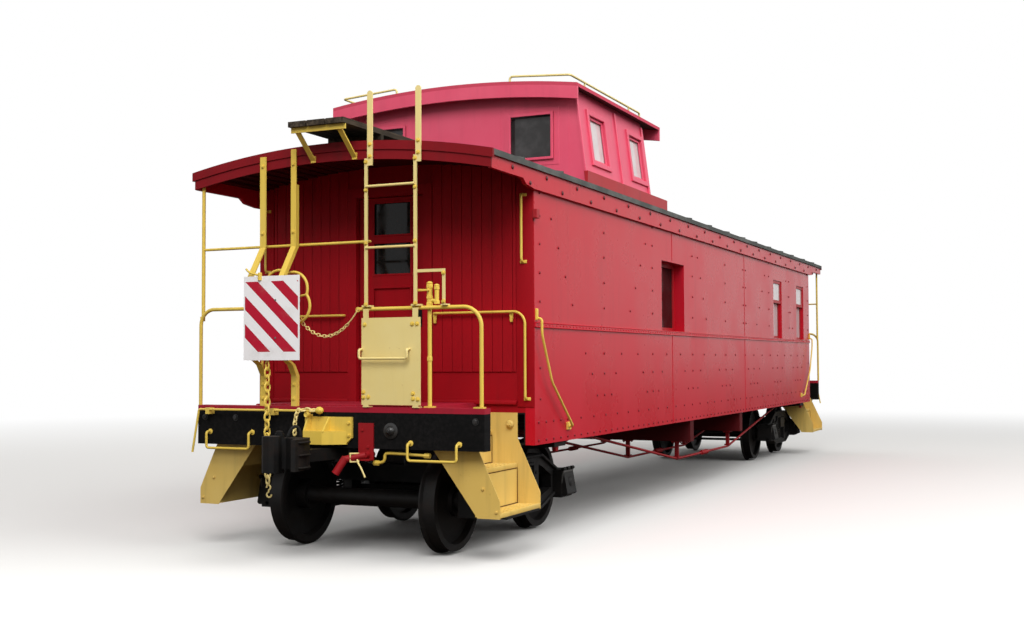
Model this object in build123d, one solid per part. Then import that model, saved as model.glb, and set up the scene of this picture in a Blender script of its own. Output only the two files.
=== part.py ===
from build123d import *
import math
import os

# Caboose on two four-wheel trucks. Millimetres, +X along the car, +Z up.
# Heights are drawn from the rail tops. The finished car is lifted by the
# wheel flanges' height, so its lowest points stand at z = 0.
# End A is at -X, end B at +X. End B is end A turned half a turn about Z,
# and each end's pieces are drawn once, at end A.
os.makedirs("parts", exist_ok=True)

# Body shell
body_len = 11810.0
body_w = 2864.0
wall_t = 90.0
sheet_bottom = 893.0
letter_board_bottom = 3086.0
belt_z = 1925.0
floor_top = 1240.0
floor_t = 70.0

# Roof
eave_reach = 56.0
fascia_t = 30.0
roof_edge_z = 3303.0
roof_crown_z = 3460.0
roof_t = 50.0

# Platforms and steps
platform_reach = 933.0
end_sill_t = 110.0
end_sill_w = 2816.0
end_sill_bottom = 900.0
step_setback = 125.0
step_plate_t = 8.0
step_y_in = 880.0
step_y_out = 1480.0
step_bottom = 360.0

# Trucks
truck_centre = 5305.0
wheelbase = 1727.0
wheel_r = 419.0
flange_h = 25.0
rim_out_y = 820.0
rim_w = 145.0
axle_r = 75.0
journal_r = 63.5
journal_y = 978.0
journal_end = 1085.0
running_gap = 0.3
centre_plate_z = 690.0
centre_plate_r = 175.0
frame_t = 100.0

# Underframe
sill_depth = 277.0
centre_sill_half = 165.0
queen_post_x = 1180.0
truss_rod_r = 14.0
truss_rod_low = 425.0
needle_beam_depth = 253.0

# Cupola
cupola_x0 = -4580.0
cupola_x1 = -2620.0
cupola_roof_x0 = -4740.0
cupola_roof_x1 = -2200.0
cupola_half_foot = 1395.0
cupola_half_top = 1290.0
cupola_eave_z = 4270.0
cupola_rise = 100.0
cupola_roof_reach = 85.0
cupola_wall_t = 60.0
cupola_skin = 35.0
cupola_fascia_t = 30.0
cupola_fascia_drop = 155.0

# Openings
door_w = 700.0
door_h = 1880.0
door_t = 45.0
door_gap = 8.0
hinge_r = 9.0
pin_r = 4.0
pin_gap = 0.05
hinge_rows = [1450.0, 2150.0, 2900.0]
glass_t = 6.0

# Round bars and pipes
grab_r = 11.0
rail_r = 21.0

half_len = body_len / 2
half_w = body_w / 2
end_x = half_len + platform_reach
roof_half = end_x - fascia_t
step_x_in = half_len
step_x_out = end_x - step_setback
roof_w = body_w + 2 * eave_reach
cupola_crown_z = cupola_eave_z + cupola_rise
cupola_roof_w = 2 * (cupola_half_top + cupola_roof_reach)
floor_bottom = floor_top - floor_t
inner_half_w = half_w - wall_t


def block(x0, x1, y0, y1, z0, z1):
    """A box between two corners."""
    size = Box(abs(x1 - x0), abs(y1 - y0), abs(z1 - z0))
    return Pos((x0 + x1) / 2, (y0 + y1) / 2, (z0 + z1) / 2) * size


def bar(p, q, r):
    """A round bar from p to q."""
    a = Vector(*p)
    b = Vector(*q)
    way = b - a
    plane = Plane(origin=a, z_dir=way)
    return extrude(plane * Circle(r), way.length)


def bent_bar(points, r, bend):
    """A round bar bent to one radius at each inner point."""
    path = FilletPolyline(*points, radius=bend)
    start = Vector(*points[0])
    plane = Plane(origin=start, z_dir=Vector(*points[1]) - start)
    return sweep(plane * Circle(r), path=path)


def iron(points, bends):
    """A grab iron: a round bar with a radius of its own at each corner."""
    path = FilletPolyline(*points, radius=bends)
    start = Vector(*points[0])
    plane = Plane(origin=start, z_dir=Vector(*points[1]) - start)
    return sweep(plane * Circle(grab_r), path=path)


def plate_yz(outline, x0, x1):
    """A plate across the car: an outline of (y, z) points between two x."""
    face = make_face(Polyline(*[(0, y, z) for y, z in outline], close=True))
    return Pos(min(x0, x1), 0, 0) * extrude(face, abs(x1 - x0), dir=(1, 0, 0))


def plate_xz(outline, y0, y1):
    """A plate along the car: an outline of (x, z) points between two y."""
    face = make_face(Polyline(*[(x, 0, z) for x, z in outline], close=True))
    return Pos(0, min(y0, y1), 0) * extrude(face, abs(y1 - y0), dir=(0, 1, 0))


def turned(shape):
    """The same piece at end B."""
    return shape.rotate(Axis.Z, 180)


def mirrored_y(shape):
    """The same piece on the other side of the car."""
    return mirror(shape, about=Plane.XZ)


def arched(half, edge_z, crown_z, drop0, drop1, x0, x1):
    """An arched band between x0 and x1: the roof curve lowered by drop0 and by drop1."""
    top = ThreePointArc((0, -half, edge_z - drop0), (0, 0, crown_z - drop0), (0, half, edge_z - drop0))
    low = ThreePointArc((0, -half, edge_z - drop1), (0, 0, crown_z - drop1), (0, half, edge_z - drop1))
    left = Line((0, -half, edge_z - drop0), (0, -half, edge_z - drop1))
    right = Line((0, half, edge_z - drop0), (0, half, edge_z - drop1))
    face = make_face([top, right, low, left])
    return Pos(x0, 0, 0) * extrude(face, x1 - x0, dir=(1, 0, 0))


def roof_z(y, drop=0.0):
    """The height of the roof curve at y, lowered by drop."""
    half = roof_w / 2
    rise = roof_crown_z - roof_edge_z
    radius = (half * half + rise * rise) / (2 * rise)
    return roof_crown_z - drop - radius + math.sqrt(radius * radius - y * y)


parts = {}

# Roof: one arched skin from end to end, open under the cupola
half_roof = roof_w / 2
roof = arched(half_roof, roof_edge_z, roof_crown_z, 0, roof_t, -roof_half, roof_half)
cupola_well = block(
    cupola_x0 + cupola_wall_t,
    cupola_x1 - cupola_wall_t,
    -cupola_half_top + cupola_wall_t,
    cupola_half_top - cupola_wall_t,
    roof_edge_z - 300,
    roof_crown_z + 140,
)
parts["roof"] = roof - cupola_well
roof_room = arched(half_roof, roof_edge_z, roof_crown_z, -600, roof_t, -end_x, end_x)

# Side walls, with the windows cut. Columns: centre x, width, sill z, head z
side_windows = [
    (-1930.0, 860.0, 1950.0, 2740.0),
    (3480.0, 570.0, 1945.0, 2845.0),
    (5150.0, 570.0, 1945.0, 2845.0),
]
wall = block(-half_len, half_len, -half_w, -inner_half_w, sheet_bottom, roof_crown_z)
for cx, w, z0, z1 in side_windows:
    wall -= block(cx - w / 2, cx + w / 2, -half_w - 50, -inner_half_w + 50, z0, z1)
belt = block(-half_len, half_len, -half_w - 12, -half_w, belt_z - 18, belt_z + 18)
wall = wall + belt
for cx, w, z0, z1 in side_windows:
    wall -= block(cx - w / 2, cx + w / 2, -half_w - 50, -half_w + 1, z0, z1)
wall -= roof_room
casing_w = 40.0
casing_in = -half_w + 160.0
cx, w, z0, z1 = side_windows[0]
casing = block(
    cx - w / 2 - casing_w, cx + w / 2 + casing_w, -inner_half_w, casing_in, z0 - casing_w, z1 + casing_w
)
wall += casing - block(cx - w / 2, cx + w / 2, -inner_half_w - 5, casing_in + 5, z0, z1)
parts["side_wall_right"] = wall
parts["side_wall_left"] = mirrored_y(wall)

# The large window's sash stands deep in a casing; the narrow windows have an
# outer upper sash and an inner lower one
sash_w = 45.0
sash_t = 35.0
large_sash_y = -half_w + 125.0
upper_sash_y = -half_w + 12.0
lower_sash_y = upper_sash_y + sash_t
meeting_z = 2520.0


def sash(cx, w, z0, z1, y):
    """A window frame and its pane."""
    x0 = cx - w / 2
    x1 = cx + w / 2
    frame = block(x0, x1, y, y + sash_t, z0, z1)
    frame -= block(x0 + sash_w, x1 - sash_w, y - 5, y + sash_t + 5, z0 + sash_w, z1 - sash_w)
    mid = y + sash_t / 2
    pane = block(x0 + sash_w, x1 - sash_w, mid - glass_t / 2, mid + glass_t / 2, z0 + sash_w, z1 - sash_w)
    return frame, pane


cx, w, z0, z1 = side_windows[0]
large_sash, large_pane = sash(cx, w, z0, z1, large_sash_y)
sashes = [large_sash]
panes = []
for cx, w, z0, z1 in side_windows[1:]:
    lower, lower_pane = sash(cx, w, z0, meeting_z + sash_w / 2, lower_sash_y)
    upper, upper_pane = sash(cx, w, meeting_z - sash_w / 2, z1, upper_sash_y)
    sashes += [lower, upper]
    panes += [lower_pane, upper_pane]
parts["side_window_sashes"] = Compound(sashes + [mirrored_y(s) for s in sashes])
parts["large_window_glass"] = Compound([large_pane, mirrored_y(large_pane)])

# End walls with their doors
door_z0 = floor_top
door_z1 = floor_top + door_h
end_wall = block(-half_len, -half_len + wall_t, -inner_half_w, inner_half_w, floor_bottom, roof_crown_z)
end_wall -= block(-half_len - 20, -half_len + wall_t + 20, -door_w / 2, door_w / 2, door_z0, door_z1)
trim_w = 90.0
trim_t = 18.0
trim = block(
    -half_len - trim_t, -half_len, -door_w / 2 - trim_w, door_w / 2 + trim_w, door_z0, door_z1 + trim_w
)
trim -= block(-half_len - 40, -half_len + 20, -door_w / 2, door_w / 2, door_z0 - 10, door_z1)
end_wall = end_wall + trim
end_wall -= roof_room
hinge_x = -half_len + wall_t + hinge_r
hinge_y = door_w / 2 - 5.0
for z in hinge_rows:
    end_wall += block(hinge_x - hinge_r, hinge_x - hinge_r + 3, hinge_y, hinge_y + 80, z - 55, z)
    end_wall += bar((hinge_x, hinge_y, z - 55), (hinge_x, hinge_y, z), hinge_r)
    end_wall += bar((hinge_x, hinge_y, z), (hinge_x, hinge_y, z + 50), pin_r)
parts["end_wall_a"] = end_wall
parts["end_wall_b"] = turned(end_wall)

leaf_x1 = -half_len + wall_t - 5.0
leaf_x0 = leaf_x1 - door_t
leaf_half = door_w / 2 - door_gap
leaf = block(leaf_x0, leaf_x1, -leaf_half, leaf_half, door_z0 + door_gap, door_z1 - door_gap)
# Columns: low z, high z of each pane
door_panes = [(2397.0, 2712.0), (2757.0, 3080.0)]
pane_half = 207.0
door_glass = []
for z0, z1 in door_panes:
    leaf -= block(leaf_x0 - 5, leaf_x1 + 5, -pane_half, pane_half, z0, z1)
    mid = (leaf_x0 + leaf_x1) / 2
    door_glass.append(block(mid - glass_t / 2, mid + glass_t / 2, -pane_half, pane_half, z0, z1))
for z0, z1 in [(1340.0, 1780.0), (1860.0, 2300.0)]:
    leaf -= block(leaf_x0 - 1, leaf_x0 + 12, -pane_half, pane_half, z0, z1)
for z in hinge_rows:
    leaf += block(leaf_x1, leaf_x1 + 3, hinge_y - 80, hinge_y, z + 1, z + 55)
    leaf += block(leaf_x1, hinge_x, hinge_y - 8, hinge_y, z + 1, z + 55)
    leaf += bar((hinge_x, hinge_y, z + 1), (hinge_x, hinge_y, z + 55), hinge_r)
    leaf -= bar((hinge_x, hinge_y, z), (hinge_x, hinge_y, z + 60), pin_r + pin_gap)
parts["door_a"] = leaf
parts["door_b"] = turned(leaf)
parts["door_a_glass"] = Compound(door_glass)
parts["door_b_glass"] = Compound([turned(g) for g in door_glass])

# Letter boards under the eaves, stepped up over the platforms
board_t = 35.0
board_top = roof_edge_z
board_end = roof_half
step_up = 64.0
low = letter_board_bottom
outline = [
    (-board_end, board_top),
    (-board_end, low + step_up),
    (-half_len - 300, low + step_up),
    (-half_len - 230, low + 20),
    (-half_len - 60, low),
    (half_len + 60, low),
    (half_len + 230, low + 20),
    (half_len + 300, low + step_up),
    (board_end, low + step_up),
    (board_end, board_top),
]
letter_board = plate_xz(outline, -half_w - board_t, -half_w)
letter_board -= roof_room
parts["letter_boards"] = Compound([letter_board, mirrored_y(letter_board)])

# Fascia across each roof end, in two layers
lip_drop = 75.0
band_drop = 155.0
fascia = arched(half_roof, roof_edge_z, roof_crown_z, 0, lip_drop, -end_x, -roof_half)
band = arched(half_roof, roof_edge_z, roof_crown_z, lip_drop, band_drop, -end_x + 12, -roof_half)
fascia += band & block(-end_x, -roof_half, -half_w - board_t, half_w + board_t, 2500, 4000)
parts["roof_fascias"] = Compound([fascia, turned(fascia)])

# Roof walk: three planks on saddles, with a bracket at each end
roof_depth = 700.0
roof_solid = arched(half_roof, roof_edge_z, roof_crown_z, 0, roof_depth, -end_x, end_x)
walk_z = 3610.0
walk_half = 270.0
walk_t = 45.0
plank_gap = 15.0
walk_overhang = 272.0
walk_tip = end_x + walk_overhang
saddle_pitch = 1500.0
saddle_w = 40.0
plank_w = (2 * walk_half - 2 * plank_gap) / 3
planks = []
# Columns: start, end, first saddle's distance from the start, last one's from the end
walk_runs = [(-walk_tip, cupola_x0 - 20, 620.0, 140.0), (cupola_x1 + 20, walk_tip, 140.0, 620.0)]
for x0, x1, first, last in walk_runs:
    for i in range(3):
        y0 = -walk_half + i * (plank_w + plank_gap)
        planks.append(block(x0, x1, y0, y0 + plank_w, walk_z - walk_t, walk_z))
    run = x1 - x0
    count = max(2, round(run / saddle_pitch) + 1)
    for i in range(count):
        x = x0 + first + i * (run - first - last) / (count - 1)
        saddle = block(x - saddle_w / 2, x + saddle_w / 2, -walk_half, walk_half, roof_edge_z, walk_z - walk_t)
        planks.append(saddle - roof_solid)
walk = planks[0]
for p in planks[1:]:
    walk += p
parts["roof_walk"] = walk

bracket_x = -walk_tip + 45
head_low = walk_z - walk_t - 45.0
leg_w = 45.0
leg_t = 12.0
leg_y = 205.0
band_x = -end_x + 12.0
leg_foot_z = 3310.0
bracket = block(bracket_x - leg_t / 2, bracket_x + leg_t / 2, -walk_half + 4, walk_half - 4, head_low, walk_z - walk_t)
for side in (-1, 1):
    y0 = side * leg_y - leg_w / 2
    leg = [
        (bracket_x, head_low + 20),
        (band_x, leg_foot_z + 17),
        (band_x, leg_foot_z),
        (bracket_x, head_low + 3),
    ]
    bracket += plate_xz(leg, y0, y0 + leg_w)
    bracket += block(band_x - 10, band_x, y0, y0 + leg_w, leg_foot_z - 6, leg_foot_z + 50)
parts["walk_brackets"] = Compound([bracket, turned(bracket)])

# Cupola walls lean inward; each wall has two windows
foot_z = 3250.0
head_z = cupola_eave_z + 130.0


def cupola_half(z):
    """Half the width over the cupola's side walls at height z."""
    share = (z - 3350.0) / (4170.0 - 3350.0)
    return cupola_half_foot + (cupola_half_top - cupola_half_foot) * share


def side_slab(inset0, inset1, z0, z1, x0, x1):
    """A leaning slab of the right side wall between two insets."""
    outline = [
        (-cupola_half(z0) + inset0, z0),
        (-cupola_half(z0) + inset1, z0),
        (-cupola_half(z1) + inset1, z1),
        (-cupola_half(z1) + inset0, z1),
    ]
    return plate_yz(outline, x0, x1)


cupola_under = arched(
    cupola_roof_w / 2, cupola_eave_z, cupola_crown_z, -600, cupola_skin, cupola_roof_x0 - 200, cupola_roof_x1 + 200
)
cupola_side = side_slab(0, cupola_wall_t, foot_z, head_z, cupola_x0, cupola_x1)
win_z1 = cupola_eave_z - 225.0
win_z0 = roof_crown_z + 120.0
cupola_side_windows = [(-4300.0, -3870.0), (-3130.0, -2710.0)]
cupola_panes = []
for x0, x1 in cupola_side_windows:
    cupola_side -= side_slab(-30, cupola_wall_t + 30, win_z0, win_z1, x0, x1)
    pane = side_slab(30, 30 + glass_t, win_z0, win_z1, x0, x1)
    panes.append(pane)
cupola_side = cupola_side - cupola_under - roof_solid
parts["cupola_sides"] = Compound([cupola_side, mirrored_y(cupola_side)])
parts["side_window_glass"] = Compound(panes + [mirrored_y(p) for p in panes])


def cupola_end(x0, x1):
    """An end wall between the leaning side walls."""
    t = cupola_wall_t
    outline = [
        (-cupola_half(foot_z) + t, foot_z),
        (cupola_half(foot_z) - t, foot_z),
        (cupola_half(head_z) - t, head_z),
        (-cupola_half(head_z) + t, head_z),
    ]
    return plate_yz(outline, x0, x1) - cupola_under - roof_solid


end_a = cupola_end(cupola_x0, cupola_x0 + cupola_wall_t)
end_b = cupola_end(cupola_x1 - cupola_wall_t, cupola_x1)
for side in (-1, 1):
    y0 = side * 590.0
    y1 = side * 1060.0
    end_a -= block(cupola_x0 - 10, cupola_x0 + cupola_wall_t + 10, y0, y1, win_z0, win_z1)
    end_b -= block(cupola_x1 - cupola_wall_t - 10, cupola_x1 + 10, y0, y1, win_z0, win_z1)
    for x in (cupola_x0 + 30, cupola_x1 - 30):
        cupola_panes.append(block(x - glass_t / 2, x + glass_t / 2, y0, y1, win_z0, win_z1))
parts["cupola_ends"] = Compound([end_a, end_b])
parts["cupola_glass"] = Compound(cupola_panes)

cupola_roof = arched(cupola_roof_w / 2, cupola_eave_z, cupola_crown_z, 0, cupola_skin, cupola_roof_x0, cupola_roof_x1)
parts["cupola_roof"] = cupola_roof
end_boards = []
for x0, x1 in [(cupola_roof_x0, cupola_roof_x0 + cupola_fascia_t), (cupola_roof_x1 - cupola_fascia_t, cupola_roof_x1)]:
    end_boards.append(
        arched(cupola_roof_w / 2, cupola_eave_z, cupola_crown_z, cupola_skin, cupola_fascia_drop, x0, x1)
    )
parts["cupola_fascias"] = Compound(end_boards)

# Drip boards along the foot of the cupola's sides
drip_x0 = cupola_x0 - 20.0
drip_x1 = cupola_roof_x1 + 100.0
drip_top = 3440.0
drip_out = cupola_half_foot + 30.0
drip = block(drip_x0, drip_x1, -drip_out, -cupola_half(drip_top), roof_edge_z, drip_top) - roof_solid
drip = drip - side_slab(0, 400, foot_z, drip_top + 100, drip_x0, drip_x1)
parts["cupola_drip_boards"] = Compound([drip, mirrored_y(drip)])

# Grab rails on the cupola roof
rail_top = cupola_crown_z + 40.0
rail_end = cupola_roof_x1 - 440.0


def cupola_roof_z(y):
    """The height of the cupola roof at y."""
    half = cupola_roof_w / 2
    rise = cupola_crown_z - cupola_eave_z
    radius = (half * half + rise * rise) / (2 * rise)
    return cupola_crown_z - radius + math.sqrt(radius * radius - y * y)


grab = bent_bar(
    [
        (cupola_roof_x0 + 60, -640, cupola_roof_z(640)),
        (cupola_roof_x0 + 60, -640, rail_top),
        (cupola_roof_x0 + 60, -1280, rail_top - 45),
        (rail_end, -1280, rail_top - 45),
        (rail_end, -1280, cupola_roof_z(1280)),
    ],
    grab_r,
    30,
)
for x in (cupola_x0 + 280, cupola_x1 - 380):
    grab += bar((x, -1280, cupola_roof_z(1280) - 2), (x, -1280, rail_top - 45), 9)
grab -= arched(cupola_roof_w / 2, cupola_eave_z, cupola_crown_z, 0, 200, cupola_roof_x0, cupola_roof_x1)
parts["cupola_grab_rails"] = Compound([grab, mirrored_y(grab)])

# Floor: one deck through the body and out over both platforms
deck = block(-half_len, half_len, -inner_half_w, inner_half_w, floor_bottom, floor_top)
deck -= block(-half_len - 5, -half_len + wall_t, -inner_half_w, inner_half_w, floor_bottom - 5, floor_top + 5)
deck -= block(half_len - wall_t, half_len + 5, -inner_half_w, inner_half_w, floor_bottom - 5, floor_top + 5)
parts["floor"] = deck
sill_in = -end_x + end_sill_t
deck_t = 45.0
deck_low = floor_top - deck_t
platform = block(-end_x, -half_len, -step_y_in, step_y_in, deck_low, floor_top)
platform += block(-end_x, sill_in, -end_sill_w / 2, end_sill_w / 2, deck_low, floor_top)
platform += block(sill_in, -half_len, -step_y_in, step_y_in, floor_bottom, deck_low)
parts["platforms"] = Compound([platform, turned(platform)])

# Underframe: centre sill, side sills, bolsters and needle beams
sill_bottom = floor_bottom - sill_depth
web_t = 16.0
centre = block(sill_in, -sill_in, -centre_sill_half, centre_sill_half, sill_bottom, floor_bottom)
centre -= block(sill_in - 5, -sill_in + 5, -centre_sill_half + web_t, centre_sill_half - web_t, sill_bottom - 5, floor_bottom - web_t)
for x in (-truck_centre, truck_centre):
    centre += block(x - 180, x + 180, -centre_sill_half + 5, centre_sill_half - 5, sill_bottom, sill_bottom + 30)
parts["centre_sill"] = centre
side_sill = block(-half_len, half_len, -inner_half_w, -inner_half_w + 90, sill_bottom, floor_bottom)
side_sill -= block(-half_len - 5, half_len + 5, -inner_half_w + 12, -inner_half_w + 95, sill_bottom + 14, floor_bottom - 14)
parts["side_sills"] = Compound([side_sill, mirrored_y(side_sill)])

bolsters = []
for x in (-truck_centre, truck_centre):
    outline = [
        (-half_w + 20, sill_bottom),
        (-half_w + 20, sill_bottom - 45),
        (-700, sill_bottom - 110),
        (700, sill_bottom - 110),
        (half_w - 20, sill_bottom - 45),
        (half_w - 20, sill_bottom),
    ]
    beam = plate_yz(outline, x - 130, x + 130)
    plate = Pos(x, 0, (centre_plate_z + running_gap + sill_bottom - 110) / 2) * Cylinder(
        centre_plate_r, sill_bottom - 110 - centre_plate_z - running_gap
    )
    bolsters.append(beam + plate)
parts["body_bolsters"] = Compound(bolsters)

beams = []
for x in (-queen_post_x, queen_post_x):
    outline = [
        (-half_w + 15, sill_bottom),
        (-half_w + 15, sill_bottom - needle_beam_depth),
        (half_w - 15, sill_bottom - needle_beam_depth),
        (half_w - 15, sill_bottom),
    ]
    beams.append(plate_yz(outline, x - 70, x + 70))
parts["needle_beams"] = Compound(beams)

# Truss rods under the needle beams, on queen posts
rod_rows = [half_w - 207.0, 600.0]
anchor_x = truck_centre - 700.0
anchor_z = truss_rod_low + 0.15 * (anchor_x - queen_post_x)
posts = []
rods = []
for y in [r * s for r in rod_rows for s in (-1, 1)]:
    for x in (-queen_post_x, queen_post_x):
        top = sill_bottom - needle_beam_depth
        foot = truss_rod_low + truss_rod_r
        post = block(x - 22, x + 22, y - 22, y + 22, foot, top)
        post += block(x - 45, x + 45, y - 35, y + 35, foot, foot + 18)
        post += block(x - 60, x + 60, y - 50, y + 50, top - 16, top)
        posts.append((y, post))
    line = [
        (-anchor_x, y, anchor_z),
        (-queen_post_x, y, truss_rod_low),
        (queen_post_x, y, truss_rod_low),
        (anchor_x, y, anchor_z),
    ]
    rod = bent_bar(line, truss_rod_r, 60)
    rod += bar((-95, y, truss_rod_low), (95, y, truss_rod_low), 30)
    for s in (-1, 1):
        rod += block(s * anchor_x - 30, s * anchor_x + 30, y - 25, y + 25, anchor_z - 40, floor_bottom)
    rods.append(rod)
seated = []
for y, post in posts:
    row = [r * s for r in rod_rows for s in (-1, 1)].index(y)
    seated.append(post - rods[row])
parts["queen_posts"] = Compound(seated)
parts["truss_rods"] = Compound(rods)

# Air brake: a cylinder with its reservoir, hung from the centre sill
air_y = 480.0
air_z = sill_bottom - 103.0
reservoir_r = 190.0
cylinder_r = 130.0
strap_z = air_z + 170.0
air = Pos(-300, air_y, air_z) * Rot(0, 90, 0) * Cylinder(reservoir_r, 900)
air += Pos(330, air_y, air_z) * Rot(0, 90, 0) * Cylinder(cylinder_r, 360)
air += Pos(-300, air_y, air_z) * Rot(0, 90, 0) * Cylinder(reservoir_r - 40, 960)
air += Pos(160, air_y, air_z) * Rot(0, 90, 0) * Cylinder(cylinder_r + 30, 24)
for x in (-600.0, 60.0):
    air += block(x - 25, x + 25, centre_sill_half, air_y + 80, strap_z, strap_z + 30)
    air += block(x - 25, x + 25, centre_sill_half, centre_sill_half + 15, sill_bottom, strap_z + 30)
parts["air_brake"] = air

# End sills with the coupler's carrier, the striking casting and the coupler
coupler_z = 876.0
shank_half = 75.0
shank_low = coupler_z - 75.0
carrier_t = 20.0
end_sill = block(-end_x, sill_in, -end_sill_w / 2, end_sill_w / 2, end_sill_bottom, deck_low)
strap_in = shank_half + 65.0
strap_out = strap_in + carrier_t
strap_low = shank_low - running_gap - carrier_t
carrier = block(-end_x + 15, -end_x + 90, -strap_out, strap_out, strap_low, end_sill_bottom)
carrier -= block(-end_x, sill_in, -strap_in, strap_in, shank_low - running_gap, end_sill_bottom)
carrier += block(-end_x + 15, -end_x + 90, -strap_out - 60, -strap_out, end_sill_bottom - 14, end_sill_bottom)
carrier += block(-end_x + 15, -end_x + 90, strap_out, strap_out + 60, end_sill_bottom - 14, end_sill_bottom)
end_sill += carrier
parts["end_sills"] = Compound([end_sill, turned(end_sill)])
striker_t = 25.0
striker_top = 1157.0
horn_reach = 125.0
horn_top = 1040.0
# Columns: y, z of each corner
striker_plate = [(-197.0, 986.0), (-143.0, 939.0), (263.0, 939.0), (263.0, striker_top), (-197.0, striker_top)]
striker = plate_yz(striker_plate, -end_x - striker_t, -end_x)
# Columns: reach, y of each corner of the horn
horn_line = [(0.0, 215.0), (horn_reach, 215.0), (horn_reach, 30.0), (25.0, -145.0), (0.0, -145.0)]
horn_face = make_face(Polyline(*[(-end_x - reach, y, 930) for reach, y in horn_line], close=True))
striker += extrude(horn_face, horn_top - 930, dir=(0, 0, 1))
striker += plate_xz(
    [(-end_x, horn_top - 5), (-end_x - horn_reach, horn_top - 5), (-end_x - horn_reach, horn_top),
     (-end_x - striker_t, striker_top), (-end_x, striker_top)],
    15,
    30,
)
striker += plate_xz(
    [(-end_x, horn_top - 5), (-end_x - horn_reach, horn_top - 5), (-end_x - horn_reach, horn_top),
     (-end_x - 60, striker_top + 20), (-end_x, striker_top + 20)],
    200,
    215,
)
parts["strikers"] = Compound([striker, turned(striker)])

head_half = 125.0
knuckle_half = 145.0
coupler_reach = 643.0
coupler_swing = -7.0


def cast(outline, half):
    """A casting from an outline of (reach, y) points, half its height up and down."""
    points = [(-end_x - reach, y, coupler_z - half) for reach, y in outline]
    return extrude(make_face(Polyline(*points, close=True)), 2 * half, dir=(0, 0, 1))


shank = block(
    -end_x - 320, -end_x + 500, -shank_half, shank_half, shank_low, end_sill_bottom - running_gap
)
head_line = [
    (300, -75),
    (360, -125),
    (480, -170),
    (615, -200),
    (coupler_reach - 8, -170),
    (515, -100),
    (465, -50),
    (460, 40),
    (485, 62),
    (485, 150),
    (390, 165),
    (330, 115),
    (300, 75),
]
knuckle_line = [
    (485, 62),
    (530, 60),
    (542, 22),
    (580, 8),
    (622, 22),
    (coupler_reach, 55),
    (coupler_reach, 115),
    (620, 152),
    (560, 168),
    (485, 155),
]
coupler = shank + cast(head_line, head_half) + cast(knuckle_line, knuckle_half)
coupler += Pos(-end_x - 460, 108, coupler_z) * Cylinder(38, 2 * knuckle_half + 30)
coupler = coupler.rotate(Axis((-end_x + 500, 0, 0), (0, 0, 1)), coupler_swing)
parts["coupler_a"] = coupler
parts["coupler_b"] = turned(coupler)

# Steps: two side plates with two treads and a riser at each corner
# Columns: top z of each tread, its inner y, its outer y
treads = [(400.0, 1262.0, 1478.0), (735.0, 1022.0, 1270.0), (1010.0, 890.0, 1030.0)]
tread_t = 30.0
side_outline = [
    (step_y_in + 5, floor_bottom),
    (1270, floor_bottom),
    (1270, 950),
    (step_y_out, 500),
    (step_y_out, step_bottom),
    (1280, step_bottom),
    (step_y_in + 5, 890),
]


def steps():
    """The left steps at end A."""
    body = plate_yz(side_outline, -step_x_out, -step_x_out + step_plate_t)
    body += plate_yz(side_outline, -step_x_in - step_plate_t, -step_x_in)
    for z, y0, y1 in treads:
        body += block(-step_x_out, -step_x_in, y0, y1, z - tread_t, z)
    for low, high in zip(treads, treads[1:]):
        riser_y = low[1]
        body += block(-step_x_out, -step_x_in, riser_y, riser_y + step_plate_t, low[0] - 15, high[0] - 10)
    return body


step_left = steps()
step_right = mirrored_y(step_left)
parts["steps_a"] = Compound([step_left, step_right])
parts["steps_b"] = Compound([turned(step_left), turned(step_right)])

# Railings and poles round the platform. The ladder stands on the right railing
rail_z = 2050.0
rail_x = -end_x + 30
rail_r = 16.0
pole_x = -end_x + 60
corner_y = 1405.0
left_rail_z = 2080.0
railing = bent_bar([(rail_x, -220, rail_z), (rail_x, -1370, rail_z), (rail_x, -1370, floor_top)], rail_r, 160)
railing += block(rail_x - 30, rail_x + 30, -1395, -1310, floor_top, floor_top + 12)
left_rail = bent_bar(
    [(rail_x, 780, left_rail_z), (rail_x, corner_y, left_rail_z), (rail_x, corner_y, floor_top)], rail_r, 140
)
pole_low = left_rail_z - 100
pole = bar((pole_x, corner_y, pole_low), (pole_x, corner_y, roof_edge_z), rail_r)
pole -= arched(half_roof, roof_edge_z, roof_crown_z, 0, roof_t, -end_x, end_x)
pole += bar((pole_x, corner_y, pole_low + 30), (rail_x, corner_y, pole_low + 30), 12)
pole += left_rail

# Ladder to the roof at each end, with the gate plate under its foot
ladder_y0 = -326.0
ladder_y1 = -792.0
stile_w = 29.0
wide_stile_w = 50.0
bar_t = 12.0
ladder_x = -end_x - bar_t
ladder_low = rail_z + 18.0
ladder_top = 3840.0
splice_z = 3240.0
pole_rail_z = 2615.0
pole += bar((pole_x, corner_y, pole_rail_z), (pole_x, ladder_y0, pole_rail_z), 12)
pole += bar((pole_x, ladder_y0, pole_rail_z), (-end_x, ladder_y0, pole_rail_z), 10)
parts["railings"] = Compound([railing, pole, turned(railing), turned(pole)])

ladder = None
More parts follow.
